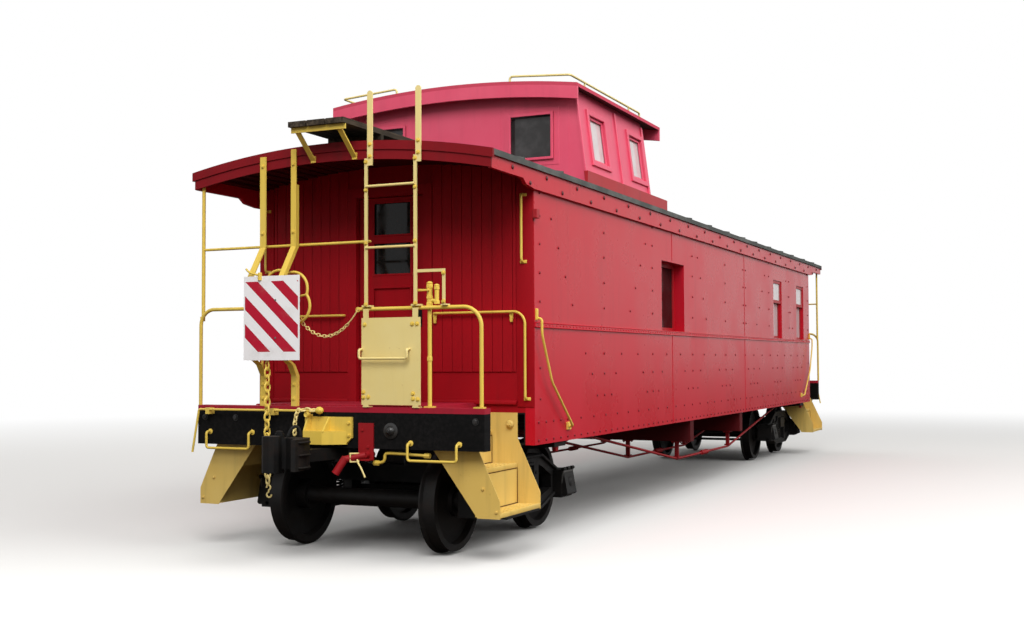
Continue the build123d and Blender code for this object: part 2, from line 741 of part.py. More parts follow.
# Columns: y of the lower stile, y of the wide bar spliced on above
for y, top_y in [(ladder_y0, -363.0), (ladder_y1, -821.0)]:
    stile = block(ladder_x, -end_x, y - stile_w / 2, y + stile_w / 2, ladder_low, splice_z + 60)
    stile += block(ladder_x, -end_x, top_y - wide_stile_w / 2, top_y + wide_stile_w / 2, splice_z, ladder_top)
    stile += block(ladder_x, -end_x, top_y, y, splice_z, splice_z + 60)
    stile += Pos(ladder_x + bar_t / 2, top_y, ladder_top) * Rot(0, 90, 0) * Cylinder(wide_stile_w / 2, bar_t)
    stile += block(ladder_x, rail_x + 20, y - 40, y + 40, rail_z + rail_r, rail_z + rail_r + 14)
    ladder = stile if ladder is None else ladder + stile
for z in (2555.0, 3065.0):
    ladder += bar((ladder_x - 4, ladder_y0, z), (ladder_x - 4, ladder_y1, z), grab_r)
guard_y0 = -1064.0
guard_y1 = -1040.0
guard_z = 2360.0
ladder += block(ladder_x, -end_x, guard_y0, ladder_y1, guard_z - 24, guard_z)
ladder += block(ladder_x, -end_x, guard_y0, guard_y1, rail_z + rail_r, guard_z)
ladder += block(ladder_x, rail_x + 20, guard_y0 - 15, guard_y1 + 15, rail_z + rail_r, rail_z + rail_r + 10)
parts["ladders"] = Compound([ladder, turned(ladder)])

gate_top = 1975.0
gate = block(ladder_x, ladder_x + 6, -840, -285, floor_top + 20, gate_top)
for y in (ladder_y0, ladder_y1):
    gate += block(ladder_x, ladder_x + 6, y - 25, y + 25, gate_top, rail_z)
    gate += block(ladder_x, rail_x - rail_r, y - 25, y + 25, rail_z - 8, rail_z)
    gate += block(ladder_x, ladder_x + 6, y - 25, y + 25, floor_top, floor_top + 20)
    gate += block(ladder_x, ladder_x + 60, y - 30, y + 30, floor_top, floor_top + 10)
handle_x = ladder_x - 48
gate += iron(
    [(ladder_x, -290, 1715), (handle_x, -290, 1715), (handle_x, -290, 1640), (handle_x, -740, 1640),
     (handle_x, -740, 1715), (ladder_x, -740, 1715)],
    [20, 20, 20, 20],
)
parts["gate_plates"] = Compound([gate, turned(gate)])

# Brake posts of angle iron, bent out round the warning board
# Columns: y of the leaf's middle, its width, the flange's side, z of the top
post_rows = [(712.0, 60.0, 1, 3388.0), (395.0, 53.0, -1, 3433.0)]
bend_out = 180.0
flange_depth = 45.0
flange_top = 3130.0
flange_t = 8.0
brake_posts = []
for y, leaf_w, side, post_top in post_rows:
    x = -end_x - bar_t
    bends = [
        (x, 2600),
        (x - bend_out, 2330),
        (x - bend_out, 1720),
        (x - 130, 1640),
        (x - 45, 1590),
        (x + bar_t, 1500),
        (x + bar_t, floor_top),
    ]
    run = [(x, post_top)] + bends
    post = plate_xz(run + [(px + bar_t, pz) for px, pz in reversed(run)], y - leaf_w / 2, y + leaf_w / 2)
    run = [(x, flange_top)] + bends
    edge = y + side * leaf_w / 2
    post += plate_xz(run + [(px + flange_depth, pz) for px, pz in reversed(run)], edge - side * flange_t, edge)
    brake_posts.append(post)
parts["brake_posts"] = Compound(brake_posts + [turned(p) for p in brake_posts])
board_x = -end_x - bar_t - bend_out
parts["warning_board"] = block(board_x - 8, board_x, 203, 767, 1630, 2340)

# Brake wheel with a lobed rim, on a gear case carried between the posts
case_x = board_x + bar_t
wheel_x = case_x + 135.0
wheel_y = 458.0
wheel_z = 2144.0
rim_cusp_r = 225.0
rim_lobe_r = 268.0
rim_bar_r = 12.0


def rim_point(angle, r):
    """A point of the brake wheel at r from its centre."""
    return (wheel_x, wheel_y + r * math.cos(angle), wheel_z + r * math.sin(angle))


brake_wheel = bar((case_x + 60, wheel_y, wheel_z), (wheel_x + 25, wheel_y, wheel_z), 28)
for i in range(5):
    angle = math.radians(170.4 + 72 * i)
    cusp = rim_point(angle, rim_cusp_r)
    lobe = rim_point(angle + math.radians(36), rim_lobe_r)
    arc = ThreePointArc(cusp, lobe, rim_point(angle + math.radians(72), rim_cusp_r))
    brake_wheel += sweep(Plane(origin=arc @ 0, z_dir=arc % 0) * Circle(rim_bar_r), path=arc)
    brake_wheel += Pos(*cusp) * Sphere(rim_bar_r + 3)
    brake_wheel += bar((wheel_x, wheel_y, wheel_z), cusp, 10)
brake_wheel += block(case_x, case_x + 70, 385, 725, 2030, 2250)
parts["brake_wheels"] = Compound([brake_wheel, turned(brake_wheel)])

# Grab irons on the body corners and on the end sill
stand_off = 55.0
side_y = -half_w - stand_off
side_iron_x = -half_len + 35.0
side_iron_end = side_iron_x + 700.0
side_iron = iron(
    [
        (side_iron_x, -half_w, 1980),
        (side_iron_x, side_y, 1980),
        (side_iron_x, side_y, 1840),
        (side_iron_x + 215, side_y, 1430),
        (side_iron_end, side_y, 1020),
        (side_iron_end, -half_w, 1020),
    ],
    [30, 200, 250, 30],
)
wall_x = -half_len - stand_off
wall_iron_y = -half_w + 66.0
upper_iron_y = -half_w + 97.0
wall_iron = iron(
    [
        (-half_len, -475, 2040),
        (wall_x, -475, 2040),
        (wall_x, wall_iron_y, 2040),
        (wall_x, wall_iron_y, 1290),
        (-half_len, wall_iron_y, 1290),
    ],
    [30, 110, 30],
)
upper_iron = iron(
    [
        (-half_len, upper_iron_y, 3050),
        (wall_x, upper_iron_y, 3050),
        (wall_x, upper_iron_y, 2470),
        (-half_len, upper_iron_y, 2470),
    ],
    [30, 30],
)
irons = [side_iron, wall_iron, upper_iron]
irons += [mirrored_y(p) for p in irons]
# Columns: y of each foot, z of the feet, z of the bar
for y0, y1, foot, low in [(822.0, 1272.0, 1010.0, 870.0), (-743.0, -1187.0, 952.0, 816.0)]:
    irons.append(
        iron(
            [
                (-end_x, y0, foot),
                (-end_x - stand_off, y0, foot),
                (-end_x - stand_off, y0, low),
                (-end_x - stand_off, y1, low),
                (-end_x - stand_off, y1, foot),
                (-end_x, y1, foot),
            ],
            [25, 25, 25, 25],
        )
    )
parts["grab_irons"] = Compound(irons + [turned(p) for p in irons])

# Uncoupling lever across each end sill
lever_x = -end_x - 60.0
lever = bent_bar([(lever_x, 1420, 830), (lever_x, 1350, 1205), (lever_x, 90, 1205)], 10, 20)
for y in (1250.0, 570.0):
    lever += block(lever_x - 14, -end_x, y - 20, y + 20, 1165, 1220)
parts["uncoupling_levers"] = Compound([lever, turned(lever)])

# The stand pipe with its valve, and the train pipe with its bracket and cock
pipe_y = -885.0
valve_y = pipe_y - 66.0
pipe_r = 17.0
pipe_x = rail_x + rail_r + pipe_r + 1
pipe = bar((pipe_x, pipe_y, floor_top), (pipe_x, pipe_y, 2080), pipe_r)
pipe += bar((pipe_x, pipe_y, 2072), (pipe_x, pipe_y, 2250), 22)
pipe += bar((pipe_x, pipe_y - 5, 2108), (pipe_x, valve_y - 10, 2108), 15)
pipe += bar((pipe_x, valve_y, 2085), (pipe_x, valve_y, 2230), 18)
pipe += block(pipe_x - 30, pipe_x + 30, pipe_y - 40, pipe_y + 40, floor_top, floor_top + 12)
parts["stand_pipes"] = Compound([pipe, turned(pipe)])
train_y = -345.0
train_r = 24.0
hose = bar((sill_in - 40, train_y, 850), (-end_x - 60, train_y, 850), train_r)
hose += bar((-end_x - 50, train_y, 850), (-end_x - 130, -190, 815), train_r + 4)
hose += bar((-end_x - 120, -200, 830), (-end_x - 170, -130, 700), train_r + 8)
hose += block(-end_x - 12, -end_x, -398, -255, 820, 1110)
hose += block(-end_x - 80, -end_x, -398, -255, 806, 820)
parts["train_pipes"] = Compound([hose, turned(hose)])

# Truck parts, drawn at the truck's own centre


def wheelset():
    """An axle with its two wheels, turned about Y."""
    rows = [
        (0, journal_end),
        (journal_r, journal_end),
        (journal_r, 880),
        (88, 880),
        (88, rim_out_y + 10),
        (130, rim_out_y + 10),
        (130, rim_out_y - 25),
        (wheel_r - 65, rim_out_y - 60),
        (wheel_r - 55, rim_out_y),
        (wheel_r, rim_out_y),
        (wheel_r, rim_out_y - rim_w + 38),
        (wheel_r + flange_h, rim_out_y - rim_w + 22),
        (wheel_r + flange_h, rim_out_y - rim_w + 8),
        (wheel_r + 6, rim_out_y - rim_w),
        (wheel_r - 55, rim_out_y - rim_w),
        (wheel_r - 65, rim_out_y - 90),
        (130, rim_out_y - 60),
        (130, rim_out_y - 165),
        (axle_r + 10, rim_out_y - 165),
        (axle_r, rim_out_y - 260),
        (axle_r, 0),
        (0, 0),
    ]
    face = make_face(Polyline(*[(r, y, 0) for r, y in rows], close=True))
    half = revolve(face, Axis.Y)
    whole = half + mirrored_y(half)
    return Pos(0, 0, wheel_r) * whole


box_half = 130.0
box_in = 890.0
box_out = 1120.0
box_low = 300.0
box_high = 560.0
box_wall = 22.0
lid_line = [
    (-box_out, box_high + 10),
    (-box_out - 14, box_high + 10),
    (-box_out - 58, box_low + 35),
    (-box_out - 40, box_low + 20),
    (-box_out, box_low + 20),
]


def side_frame():
    """A cast side frame with its two journal boxes, on the right side."""
    wb = wheelbase / 2
    outer = [
        (-wb - box_half, 470),
        (-wb - box_half + 20, box_high),
        (-wb + 60, box_high + 20),
        (-430, 745),
        (430, 745),
        (wb - 60, box_high + 20),
        (wb + box_half - 20, box_high),
        (wb + box_half, 470),
        (wb + box_half, 330),
        (wb - box_half, 330),
        (370, 215),
        (-370, 215),
        (-wb + box_half, 330),
        (-wb - box_half, 330),
    ]
    y0 = -journal_y - frame_t / 2
    y1 = -journal_y + frame_t / 2
    frame = plate_xz(outer, y0, y1)
    frame -= block(-230, 230, y0 - 5, y1 + 5, 290, 655)
    for s in (-1, 1):
        hole = [(s * 395, 330), (s * 395, 640), (s * 470, 620), (s * (wb - 175), 520), (s * (wb - 175), 400)]
        frame -= plate_xz(hole, y0 - 5, y1 + 5)
        cx = s * wb
        case = block(cx - box_half, cx + box_half, -box_out, -box_in, box_low, box_high)
        room = block(
            cx - box_half + box_wall,
            cx + box_half - box_wall,
            -box_out + 20,
            -box_in - box_wall,
            box_low + box_wall,
            box_high - box_wall,
        )
        frame = frame + case - room
        brass = block(cx - 60, cx + 60, -journal_y - 95, -journal_y + 55, wheel_r, box_high - box_wall)
        frame += brass
        bore = Pos(cx, -960, wheel_r) * Rot(90, 0, 0) * Cylinder(journal_r + running_gap, 260)
        frame -= bore
        throat = Pos(cx, -box_in, wheel_r) * Rot(90, 0, 0) * Cylinder(journal_r + 12, 80)
        frame -= throat
        frame -= block(cx - journal_r - 8, cx + journal_r + 8, -journal_end - 10, -box_in - 10, 340, wheel_r)
        frame += plate_yz(lid_line, cx - box_half + 12, cx + box_half - 12)
    return frame


frame_right = side_frame()
frame_left = mirrored_y(frame_right)
bolster = block(-125, 125, -1080, 1080, 480, 640)
bolster += Pos(0, 0, (640 + centre_plate_z) / 2) * Cylinder(centre_plate_r, centre_plate_z - 640)
spring_r = 55.0
springs = []
for sy in (-1, 1):
    for dx in (-70.0, 70.0):
        springs.append(Pos(dx, sy * journal_y, (290 + 480) / 2) * Cylinder(spring_r, 190))
frame_in = journal_y - frame_t / 2
plank = block(-150, 150, -frame_in, frame_in, 240, 262)

shoe_gap = 12.0
beams = []
for s in (-1, 1):
    ax = s * wheelbase / 2
    shoe_r = wheel_r + shoe_gap
    rod_x = ax - s * (wheel_r + 95)
    beam = block(rod_x - 25, rod_x + 25, -frame_in, frame_in, 350, 400)
    for sy in (-1, 1):
        shoe = block(ax - s * (wheel_r - 30), rod_x, sy * 735, sy * 800, 290, 500)
        shoe -= Pos(ax, sy * 760, wheel_r) * Rot(90, 0, 0) * Cylinder(shoe_r, 200)
        beam += shoe
    beams.append(beam)

truck_frame = frame_right + frame_left + plank
trucks = {"a": -truck_centre, "b": truck_centre}
for end, cx in trucks.items():
    at = Pos(cx, 0, 0)
    parts["truck_" + end + "_frame"] = at * truck_frame
    parts["truck_" + end + "_bolster"] = at * bolster
    parts["truck_" + end + "_springs"] = Compound([at * s for s in springs])
    parts["truck_" + end + "_brake_beams"] = Compound([at * b for b in beams])
    for row, s in (("1", -1), ("2", 1)):
        parts["wheelset_" + end + row] = Pos(cx + s * wheelbase / 2, 0, 0) * wheelset()

lift = Pos(0, 0, flange_h)
for name, shape in parts.items():
    export_step(lift * shape, "parts/" + name + ".step")
print(len(parts), "nodes written")
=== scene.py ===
# %% [markdown]
# # Dressing a red railway caboose
# The solids of the car come ready made from its CAD model. This lesson adds
# what a modeller adds: rivets, boards, chains, springs and old paint.
# Everything is in metres and shares the frame of the solids: +X runs along
# the car, end A is at -X, and +Z is up.

# %% Load the solids
import math

import bpy
from mathutils import Matrix, Vector


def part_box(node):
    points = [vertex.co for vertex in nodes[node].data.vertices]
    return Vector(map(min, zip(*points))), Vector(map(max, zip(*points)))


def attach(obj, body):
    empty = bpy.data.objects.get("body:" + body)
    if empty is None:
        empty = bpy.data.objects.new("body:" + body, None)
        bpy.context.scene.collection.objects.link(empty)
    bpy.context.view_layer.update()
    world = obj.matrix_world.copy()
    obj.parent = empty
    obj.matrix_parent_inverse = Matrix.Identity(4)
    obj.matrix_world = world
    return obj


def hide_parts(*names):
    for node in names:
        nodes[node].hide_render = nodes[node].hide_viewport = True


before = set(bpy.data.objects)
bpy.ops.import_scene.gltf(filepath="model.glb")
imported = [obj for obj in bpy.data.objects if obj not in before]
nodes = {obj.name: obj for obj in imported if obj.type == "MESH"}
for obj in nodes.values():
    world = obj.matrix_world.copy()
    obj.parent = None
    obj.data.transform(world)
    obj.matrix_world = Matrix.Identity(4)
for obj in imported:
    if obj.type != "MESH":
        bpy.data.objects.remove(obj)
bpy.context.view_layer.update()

# %% [markdown]
# ## The camera
# The picture was taken at eye height, a few steps outside the track and well
# ahead of the car, with a lens a little longer than normal. The same place
# and lens give the same perspective, so the long side shrinks as it should.
# A camera looks straight down at first, so it is pitched up and then headed.

# %% Place the camera
rail_top = 0.025
eye = Matrix.Translation((-15.5005, -5.6581, 1.6142 + rail_top))
heading, pitch, roll = 0.43326, 0.03889, -0.00442
focal_px, picture_px, sensor_mm = 1222.64, 1024, 36.0


def add_object(name, data):
    """An object in the scene around a camera, a lamp or a curve."""
    obj = bpy.data.objects.new(name, data)
    bpy.context.scene.collection.objects.link(obj)
    return obj


camera = add_object("camera", bpy.data.cameras.new("camera"))
headed = Matrix.Rotation(heading - math.pi / 2, 4, "Z")
pitched = Matrix.Rotation(pitch + math.pi / 2, 4, "X")
camera.matrix_world = eye @ headed @ pitched @ Matrix.Rotation(roll, 4, "Z")
camera.data.sensor_width = sensor_mm
camera.data.lens = focal_px / picture_px * sensor_mm
camera.data.clip_end = 500
bpy.context.scene.camera = camera
print("lens", round(camera.data.lens, 2), "mm")

# %% [markdown]
# ## Small helpers for modelling
# Blender's operators act on whatever is selected. Each helper first clears
# the selection, adds one primitive, and writes its place into the mesh, so
# that a finished piece has its object at the origin, unturned and unscaled.

# %% Select and settle
def clear_selection():
    """Leaves edit mode and selects nothing."""
    if bpy.context.mode != "OBJECT":
        bpy.ops.object.mode_set(mode="OBJECT")
    bpy.ops.object.select_all(action="DESELECT")


def pick(obj):
    """Makes obj the only selected and the active object."""
    clear_selection()
    obj.select_set(True)
    bpy.context.view_layer.objects.active = obj


def settle(stretch=(1, 1, 1)):
    """Writes the place, turn and stretch of the new object into its mesh."""
    obj = bpy.context.active_object
    obj.scale = stretch
    pick(obj)
    bpy.ops.object.transform_apply(location=True, rotation=True, scale=True)
    return obj


def smooth(obj, degrees=35):
    """Shades gentle edges as smooth."""
    pick(obj)
    bpy.ops.object.shade_smooth_by_angle(angle=math.radians(degrees))
    return obj


def soften(obj, width, segments=2):
    """Rounds the edges of a piece."""
    pick(obj)
    bevel = obj.modifiers.new("Bevel", "BEVEL")
    bevel.width, bevel.segments, bevel.limit_method = width, segments, "ANGLE"
    bpy.ops.object.modifier_apply(modifier=bevel.name)
    return smooth(obj)


print("selecting and settling ready")

# %% Primitives to start from
def add_box(corner, opposite):
    """A box between two opposite corners."""
    clear_selection()
    low = Vector([min(pair) for pair in zip(corner, opposite)])
    high = Vector([max(pair) for pair in zip(corner, opposite)])
    bpy.ops.mesh.primitive_cube_add(size=1, location=(low + high) / 2)
    return settle(high - low)


def add_rod(start, end, radius, sides=16):
    """A round bar from start to end."""
    clear_selection()
    start, end = Vector(start), Vector(end)
    way = end - start
    bpy.ops.mesh.primitive_cylinder_add(
        vertices=sides, radius=radius, depth=way.length, location=(start + end) / 2
    )
    rod = bpy.context.active_object
    rod.rotation_mode = "QUATERNION"
    rod.rotation_quaternion = Vector((0, 0, 1)).rotation_difference(way)
    return settle()


def add_ball(spot, radius, stretch, segments=14, rings=8):
    """A ball, stretched or pressed flat along the axes."""
    clear_selection()
    bpy.ops.mesh.primitive_uv_sphere_add(
        segments=segments, ring_count=rings, radius=radius, location=spot
    )
    return smooth(settle(stretch), 60)


print("primitives ready")

# %% [markdown]
# A box or a rod is only a start. Its faces that look one way are selected in
# code by their normals, and are then inset, raised, slid or resized.

# %% Shape the faces of a piece
def shape_faces(obj, way, inset=0, rise=0, slide=None, resize=None, about=None, bridge=False):
    """Works on the faces that look one way, such as "-y", or both ways, as in "y"."""
    axis = "xyz".index(way[-1])
    sign = {"+": 1, "-": -1}.get(way[0], 0)
    pick(obj)
    bpy.ops.object.mode_set(mode="EDIT")
    bpy.ops.mesh.select_mode(type="FACE")
    bpy.ops.mesh.select_all(action="DESELECT")
    bpy.ops.object.mode_set(mode="OBJECT")
    for face in obj.data.polygons:
        looks = face.normal[axis]
        face.select = (looks * sign if sign else abs(looks)) > 0.9
    bpy.ops.object.mode_set(mode="EDIT")
    if inset:
        bpy.ops.mesh.inset(thickness=inset)
    if bridge:
        bpy.ops.mesh.bridge_edge_loops()
    if rise:
        bpy.ops.transform.translate(value=[sign * rise * (k == axis) for k in range(3)])
    if slide:
        bpy.ops.transform.translate(value=slide)
    if resize:
        bpy.ops.transform.resize(value=resize, center_override=about)
    bpy.ops.object.mode_set(mode="OBJECT")
    return obj


print("faces can be shaped")

# %% Move, copy and join
def shift(x, y, z):
    """A move."""
    return Matrix.Translation((x, y, z))


def turn(degrees, axis):
    """A turn about an axis through the origin."""
    return Matrix.Rotation(math.radians(degrees), 4, axis)


def moved(obj, move):
    """Moves the mesh, and leaves the object at the origin."""
    obj.data.transform(move)
    return obj


def moved_copy(obj, move):
    """A copy with its own mesh, moved."""
    twin = obj.copy()
    twin.data = obj.data.copy()
    bpy.context.scene.collection.objects.link(twin)
    return moved(twin, move)


def mirrored_copy(obj):
    """The piece across the car, with its faces turned the right way out."""
    twin = moved_copy(obj, Matrix.Scale(-1, 4, (0, 1, 0)))
    twin.data.flip_normals()
    return twin


def join(pieces):
    """Joins several meshes into one."""
    clear_selection()
    for piece in pieces:
        piece.select_set(True)
    bpy.context.view_layer.objects.active = pieces[0]
    if len(pieces) > 1:
        bpy.ops.object.join()
    return pieces[0]


def copies(master, moves):
    """One mesh with a copy of master at each move. The master is used up."""
    twins = [moved_copy(master, move) for move in moves]
    bpy.data.objects.remove(master)
    return join(twins)


print("moving and copying ready")

# %% [markdown]
# Each finished piece gets a material and a body that it rides on.
# Both ends of the car are alike, and so are both sides, so a piece is made
# once and its copy is turned or mirrored.


def place(name, pieces, material, body="caboose"):
    """Joins pieces into one, and gives it its name, material and body."""
    obj = join(pieces)
    obj.name = name
    obj.data.materials.clear()
    obj.data.materials.append(material)
    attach(obj, body)
    print(name, "has", len(obj.data.polygons), "faces and rides on", body)
    return obj


def both_ends(name, pieces, material, body="caboose"):
    """Places pieces at end A, and their copy, turned half a turn, at end B."""
    obj = join(pieces)
    place(name + "_b", [moved_copy(obj, turn(180, "Z"))], material, body.replace("_a", "_b"))
    place(name + "_a", [obj], material, body)


def both_sides(name, pieces, material):
    """Places pieces on the car's right side, and their mirror image on the left."""
    obj = join(pieces)
    place(name + "_left", [mirrored_copy(obj)], material)
    place(name + "_right", [obj], material)


print("placing ready")

# %% [markdown]
# ## Effects that several materials share
# Old paint is never one flat colour. It fades in soft patches, runs in faint
# streaks down a wall, and lets rust through in specks. A shader node group
# holds such an effect once, and each material gives it its own colours and
# amounts. A group puts out only a colour, a roughness and a height.

# %% Node helpers
def feed(node, values):
    """Sets a node's sockets to numbers and colours, or links other sockets to them."""
    for key, value in values.items():
        socket = node.inputs[key]
        if isinstance(value, bpy.types.NodeSocket):
            node.id_data.links.new(value, socket)
        else:
            socket.default_value = (*value, 1.0) if socket.type == "RGBA" else value


def add_node(tree, kind, sockets={}, **settings):
    """Adds a node with these settings, and feeds its sockets."""
    node = tree.nodes.new("ShaderNode" + kind)
    for key, value in settings.items():
        setattr(node, key, value)
    feed(node, sockets)
    return node


def follow(kind, sockets, **settings):
    """Adds a node to the tree of the first socket that feeds it."""
    source = next(value for value in sockets.values() if isinstance(value, bpy.types.NodeSocket))
    return add_node(source.id_data, kind, sockets, **settings).outputs


def maths(operation, a, b):
    """One step of arithmetic on sockets or numbers."""
    return follow("Math", {0: a, 1: b}, operation=operation)[0]


def times(a, b):
    """The product of two sockets or numbers."""
    return maths("MULTIPLY", a, b)


def plus(a, b):
    """The sum of two sockets or numbers."""
    return maths("ADD", a, b)


def mix(share, a, b):
    """Mixes two colours by a share."""
    return follow("Mix", {0: share, 6: a, 7: b}, data_type="RGBA")[2]


def ramp(source, low, high):
    """A smooth mask: 0 below low, 1 above high."""
    values = {"Value": source, "From Min": low, "From Max": high}
    return follow("MapRange", values, interpolation_type="SMOOTHSTEP")[0]


def noise(tree, scale, detail=4.0, roughness=0.6, stretch=(1, 1, 1), offset=(0, 0, 0)):
    """Noise on Object coordinates, stretched along chosen axes."""
    spot = add_node(tree, "TexCoord").outputs["Object"]
    spot = follow("Mapping", {"Vector": spot, "Scale": stretch, "Location": offset})[0]
    values = {"Vector": spot, "Scale": scale, "Detail": detail, "Roughness": roughness}
    return follow("TexNoise", values)["Fac"]


print("node helpers ready")

# %% Node groups
def new_group(name, inputs):
    """A group with these inputs, and the three outputs that every finish needs."""
    tree = bpy.data.node_groups.new(name, "ShaderNodeTree")
    print("group", name)
    colour_kind, number_kind = "NodeSocketColor", "NodeSocketFloat"
    for label, value in inputs.items():
        is_colour = isinstance(value, tuple)
        kind = colour_kind if is_colour else number_kind
        socket = tree.interface.new_socket(label, in_out="INPUT", socket_type=kind)
        socket.default_value = (*value, 1.0) if is_colour else value
    outputs = {"Colour": colour_kind, "Roughness": number_kind, "Height": number_kind}
    for label, kind in outputs.items():
        tree.interface.new_socket(label, in_out="OUTPUT", socket_type=kind)
    return tree, tree.nodes.new("NodeGroupInput").outputs, tree.nodes.new("NodeGroupOutput")


# %% Old paint
old_paint, given, result = new_group("Old paint", {
    "Paint": (0.5, 0.02, 0.03),
    "Faded": (0.6, 0.06, 0.07),
    "Rust": (0.13, 0.035, 0.012),
    "Fade amount": 0.5,
    "Streak amount": 0.3,
    "Rust amount": 0.3,
    "Gloss": 0.35,
})
tree = old_paint
fade = times(ramp(noise(tree, 1.3), 0.35, 0.7), given["Fade amount"])
colour = mix(fade, given["Paint"], given["Faded"])
runs = ramp(noise(tree, 9.0, 5.0, stretch=(1, 1, 0.07)), 0.5, 0.75)
streak = times(runs, given["Streak amount"])
colour = mix(streak, colour, mix(0.55, colour, (0.02, 0.012, 0.01)))
specks = ramp(noise(tree, 26.0, 8.0, 0.7), 0.62, 0.70)
where = ramp(noise(tree, 2.2, offset=(3, 1, 7)), 0.45, 0.7)
rust = times(times(specks, where), given["Rust amount"])
rough = plus(given["Gloss"], times(fade, 0.15))
orange_peel = times(noise(tree, 55.0, 3.0), 0.25)
feed(result, {
    "Colour": mix(rust, colour, given["Rust"]),
    "Roughness": plus(rough, times(rust, 0.4)),
    "Height": maths("SUBTRACT", orange_peel, rust),
})

# %% Grime on iron
grime, given, result = new_group("Grime", {
    "Metal": (0.012, 0.011, 0.01),
    "Rust": (0.09, 0.032, 0.014),
    "Dust": (0.16, 0.11, 0.07),
    "Rust amount": 0.4,
    "Dust amount": 0.3,
    "Gloss": 0.6,
})
tree = grime
rust = times(ramp(noise(tree, 7.0, 8.0, 0.7), 0.48, 0.66), given["Rust amount"])
colour = mix(rust, given["Metal"], given["Rust"])
dusty = ramp(noise(tree, 3.0, stretch=(1, 1, 2), offset=(5, 2, 1)), 0.4, 0.75)
pits = times(noise(tree, 90.0, 5.0), 0.5)
feed(result, {
    "Colour": mix(times(dusty, given["Dust amount"]), colour, given["Dust"]),
    "Roughness": plus(given["Gloss"], times(rust, 0.3)),
    "Height": plus(pits, rust),
})

# %% Weathered wood
old_wood, given, result = new_group("Weathered wood", {
    "Light": (0.22, 0.2, 0.17),
    "Dark": (0.04, 0.035, 0.03),
    "Grain": 1.0,
})
tree = old_wood
fibres = noise(tree, 30.0, 8.0, 0.65, stretch=(0.04, 1, 1))
share = times(ramp(fibres, 0.35, 0.7), given["Grain"])
share = times(share, ramp(noise(tree, 2.5, 3.0), 0.2, 0.6))
feed(result, {
    "Colour": mix(share, given["Dark"], given["Light"]),
    "Roughness": maths("SUBTRACT", 0.95, times(share, 0.1)),
    "Height": fibres,
})

# %% [markdown]
# The cupola's roof is one solid: black on top, red on its edges and painted
# shade underneath. The way that a face looks, up or down, picks its colour.

# %% Painted edges
painted_edges, given, result = new_group("Painted edges", {
    "Edge": (0.5, 0.03, 0.05),
    "Top": (0.04, 0.04, 0.04),
    "Under": (0.05, 0.01, 0.01),
})
tree = painted_edges
normal = add_node(tree, "TexCoord").outputs["Normal"]
lift = follow("SeparateXYZ", {0: normal})["Z"]
colour = mix(maths("GREATER_THAN", lift, 0.5), given["Edge"], given["Top"])
# Faces that look down take the dark Under colour, which is painted shade.
colour = mix(maths("LESS_THAN", lift, -0.5), colour, given["Under"])
grit = noise(tree, 18.0, 6.0)
feed(result, {
    "Colour": mix(times(grit, 0.25), colour, (0.12, 0.1, 0.09)),
    "Roughness": plus(0.6, times(grit, 0.25)),
    "Height": grit,
})

# %% [markdown]
# ## The materials
# Each finish of the car is one material: a group for its pattern, a bump for
# its small relief, and a Principled shader for the way it takes the light.
# Three short functions name what differs between paints, irons and woods.

# %% Make a finish
def new_material(name):
    """A material, its node tree and its Principled shader."""
    print("material", name)
    material = bpy.data.materials.new(name)
    material.use_nodes = True
    return material, material.node_tree, material.node_tree.nodes["Principled BSDF"]


def finish(name, group, values, bump, shine=0.5, metallic=0.0, depth=0.002):
    """A material around one group. Values set the group's sockets."""
    material, tree, shader = new_material(name)
    pattern = add_node(tree, "Group", values, node_tree=group).outputs
    relief = {"Strength": bump, "Distance": depth, "Height": pattern["Height"]}
    feed(shader, {
        "Base Color": pattern["Colour"],
        "Roughness": pattern["Roughness"],
        "Normal": follow("Bump", relief)[0],
        "Metallic": metallic,
        "Specular IOR Level": shine,
    })
    return material


def paint(name, fresh, faded, gloss, bump, shine, streaks=0.3, rust=0.3, rust_colour=None):
    """Old paint. Gloss is its roughness."""
    values = {"Paint": fresh, "Faded": faded, "Gloss": gloss}
    values |= {"Streak amount": streaks, "Rust amount": rust}
    if rust_colour:
        values["Rust"] = rust_colour
    return finish(name, old_paint, values, bump, shine)


def iron(name, metal, rust, dust, gloss, bump, shine=0.5, metallic=0.0):
    """Bare or black metal under rust and dust."""
    values = {"Metal": metal, "Rust": rust, "Dust": dust, "Gloss": gloss}
    return finish(name, grime, values, bump, shine, metallic)


def wood(name, light, dark, bump, shine=0.5, depth=0.002):
    """Bare or black wood with its grain."""
    return finish(name, old_wood, {"Light": light, "Dark": dark}, bump, shine, depth=depth)

# %% Red paints
side_red = paint("side red", (0.5, 0.006, 0.018), (0.56, 0.013, 0.031), 0.26, 0.2, 0.19, 0.16)
# The cupola's red is faded paint, made lighter and pinker by a painted sheen of the sky.
cupola_red_and_sheen = paint("cupola red and painted sheen", (0.68, 0.07, 0.135), (0.73, 0.11, 0.18), 0.4, 0.35, 0.35, 0.15)
end_red = paint("end red", (0.35, 0.004, 0.01), (0.27, 0.005, 0.01), 0.5, 0.3, 0.1, 0.35)
fascia_red = paint("fascia red", (0.19, 0.005, 0.009), (0.25, 0.01, 0.015), 0.5, 0.5, 0.12, 0.4)
# The ceiling's red paint is made very dark, as painted shade under the overhangs.
ceiling_red_and_shade = paint("ceiling red and painted shade", (0.06, 0.002, 0.004), (0.04, 0.003, 0.004), 0.7, 0.4, 0.1)
trim_red = paint("trim red", (0.36, 0.007, 0.013), (0.4, 0.02, 0.026), 0.45, 0.4, 0.3)
rivet_red = paint("rivet red", (0.17, 0.004, 0.01), (0.26, 0.008, 0.016), 0.35, 0.2, 0.25, rust=0.9)
bolt_red = paint("bolt red", (0.09, 0.004, 0.007), (0.05, 0.008, 0.008), 0.5, 0.3, 0.5, rust=0.9)
# The needle beams carry the rods' red paint, darkened as painted shade under the car.
beam_red_and_shade = paint("beam red and painted shade", (0.09, 0.003, 0.005), (0.05, 0.004, 0.005), 0.6, 0.4, 0.15, rust=0.8)
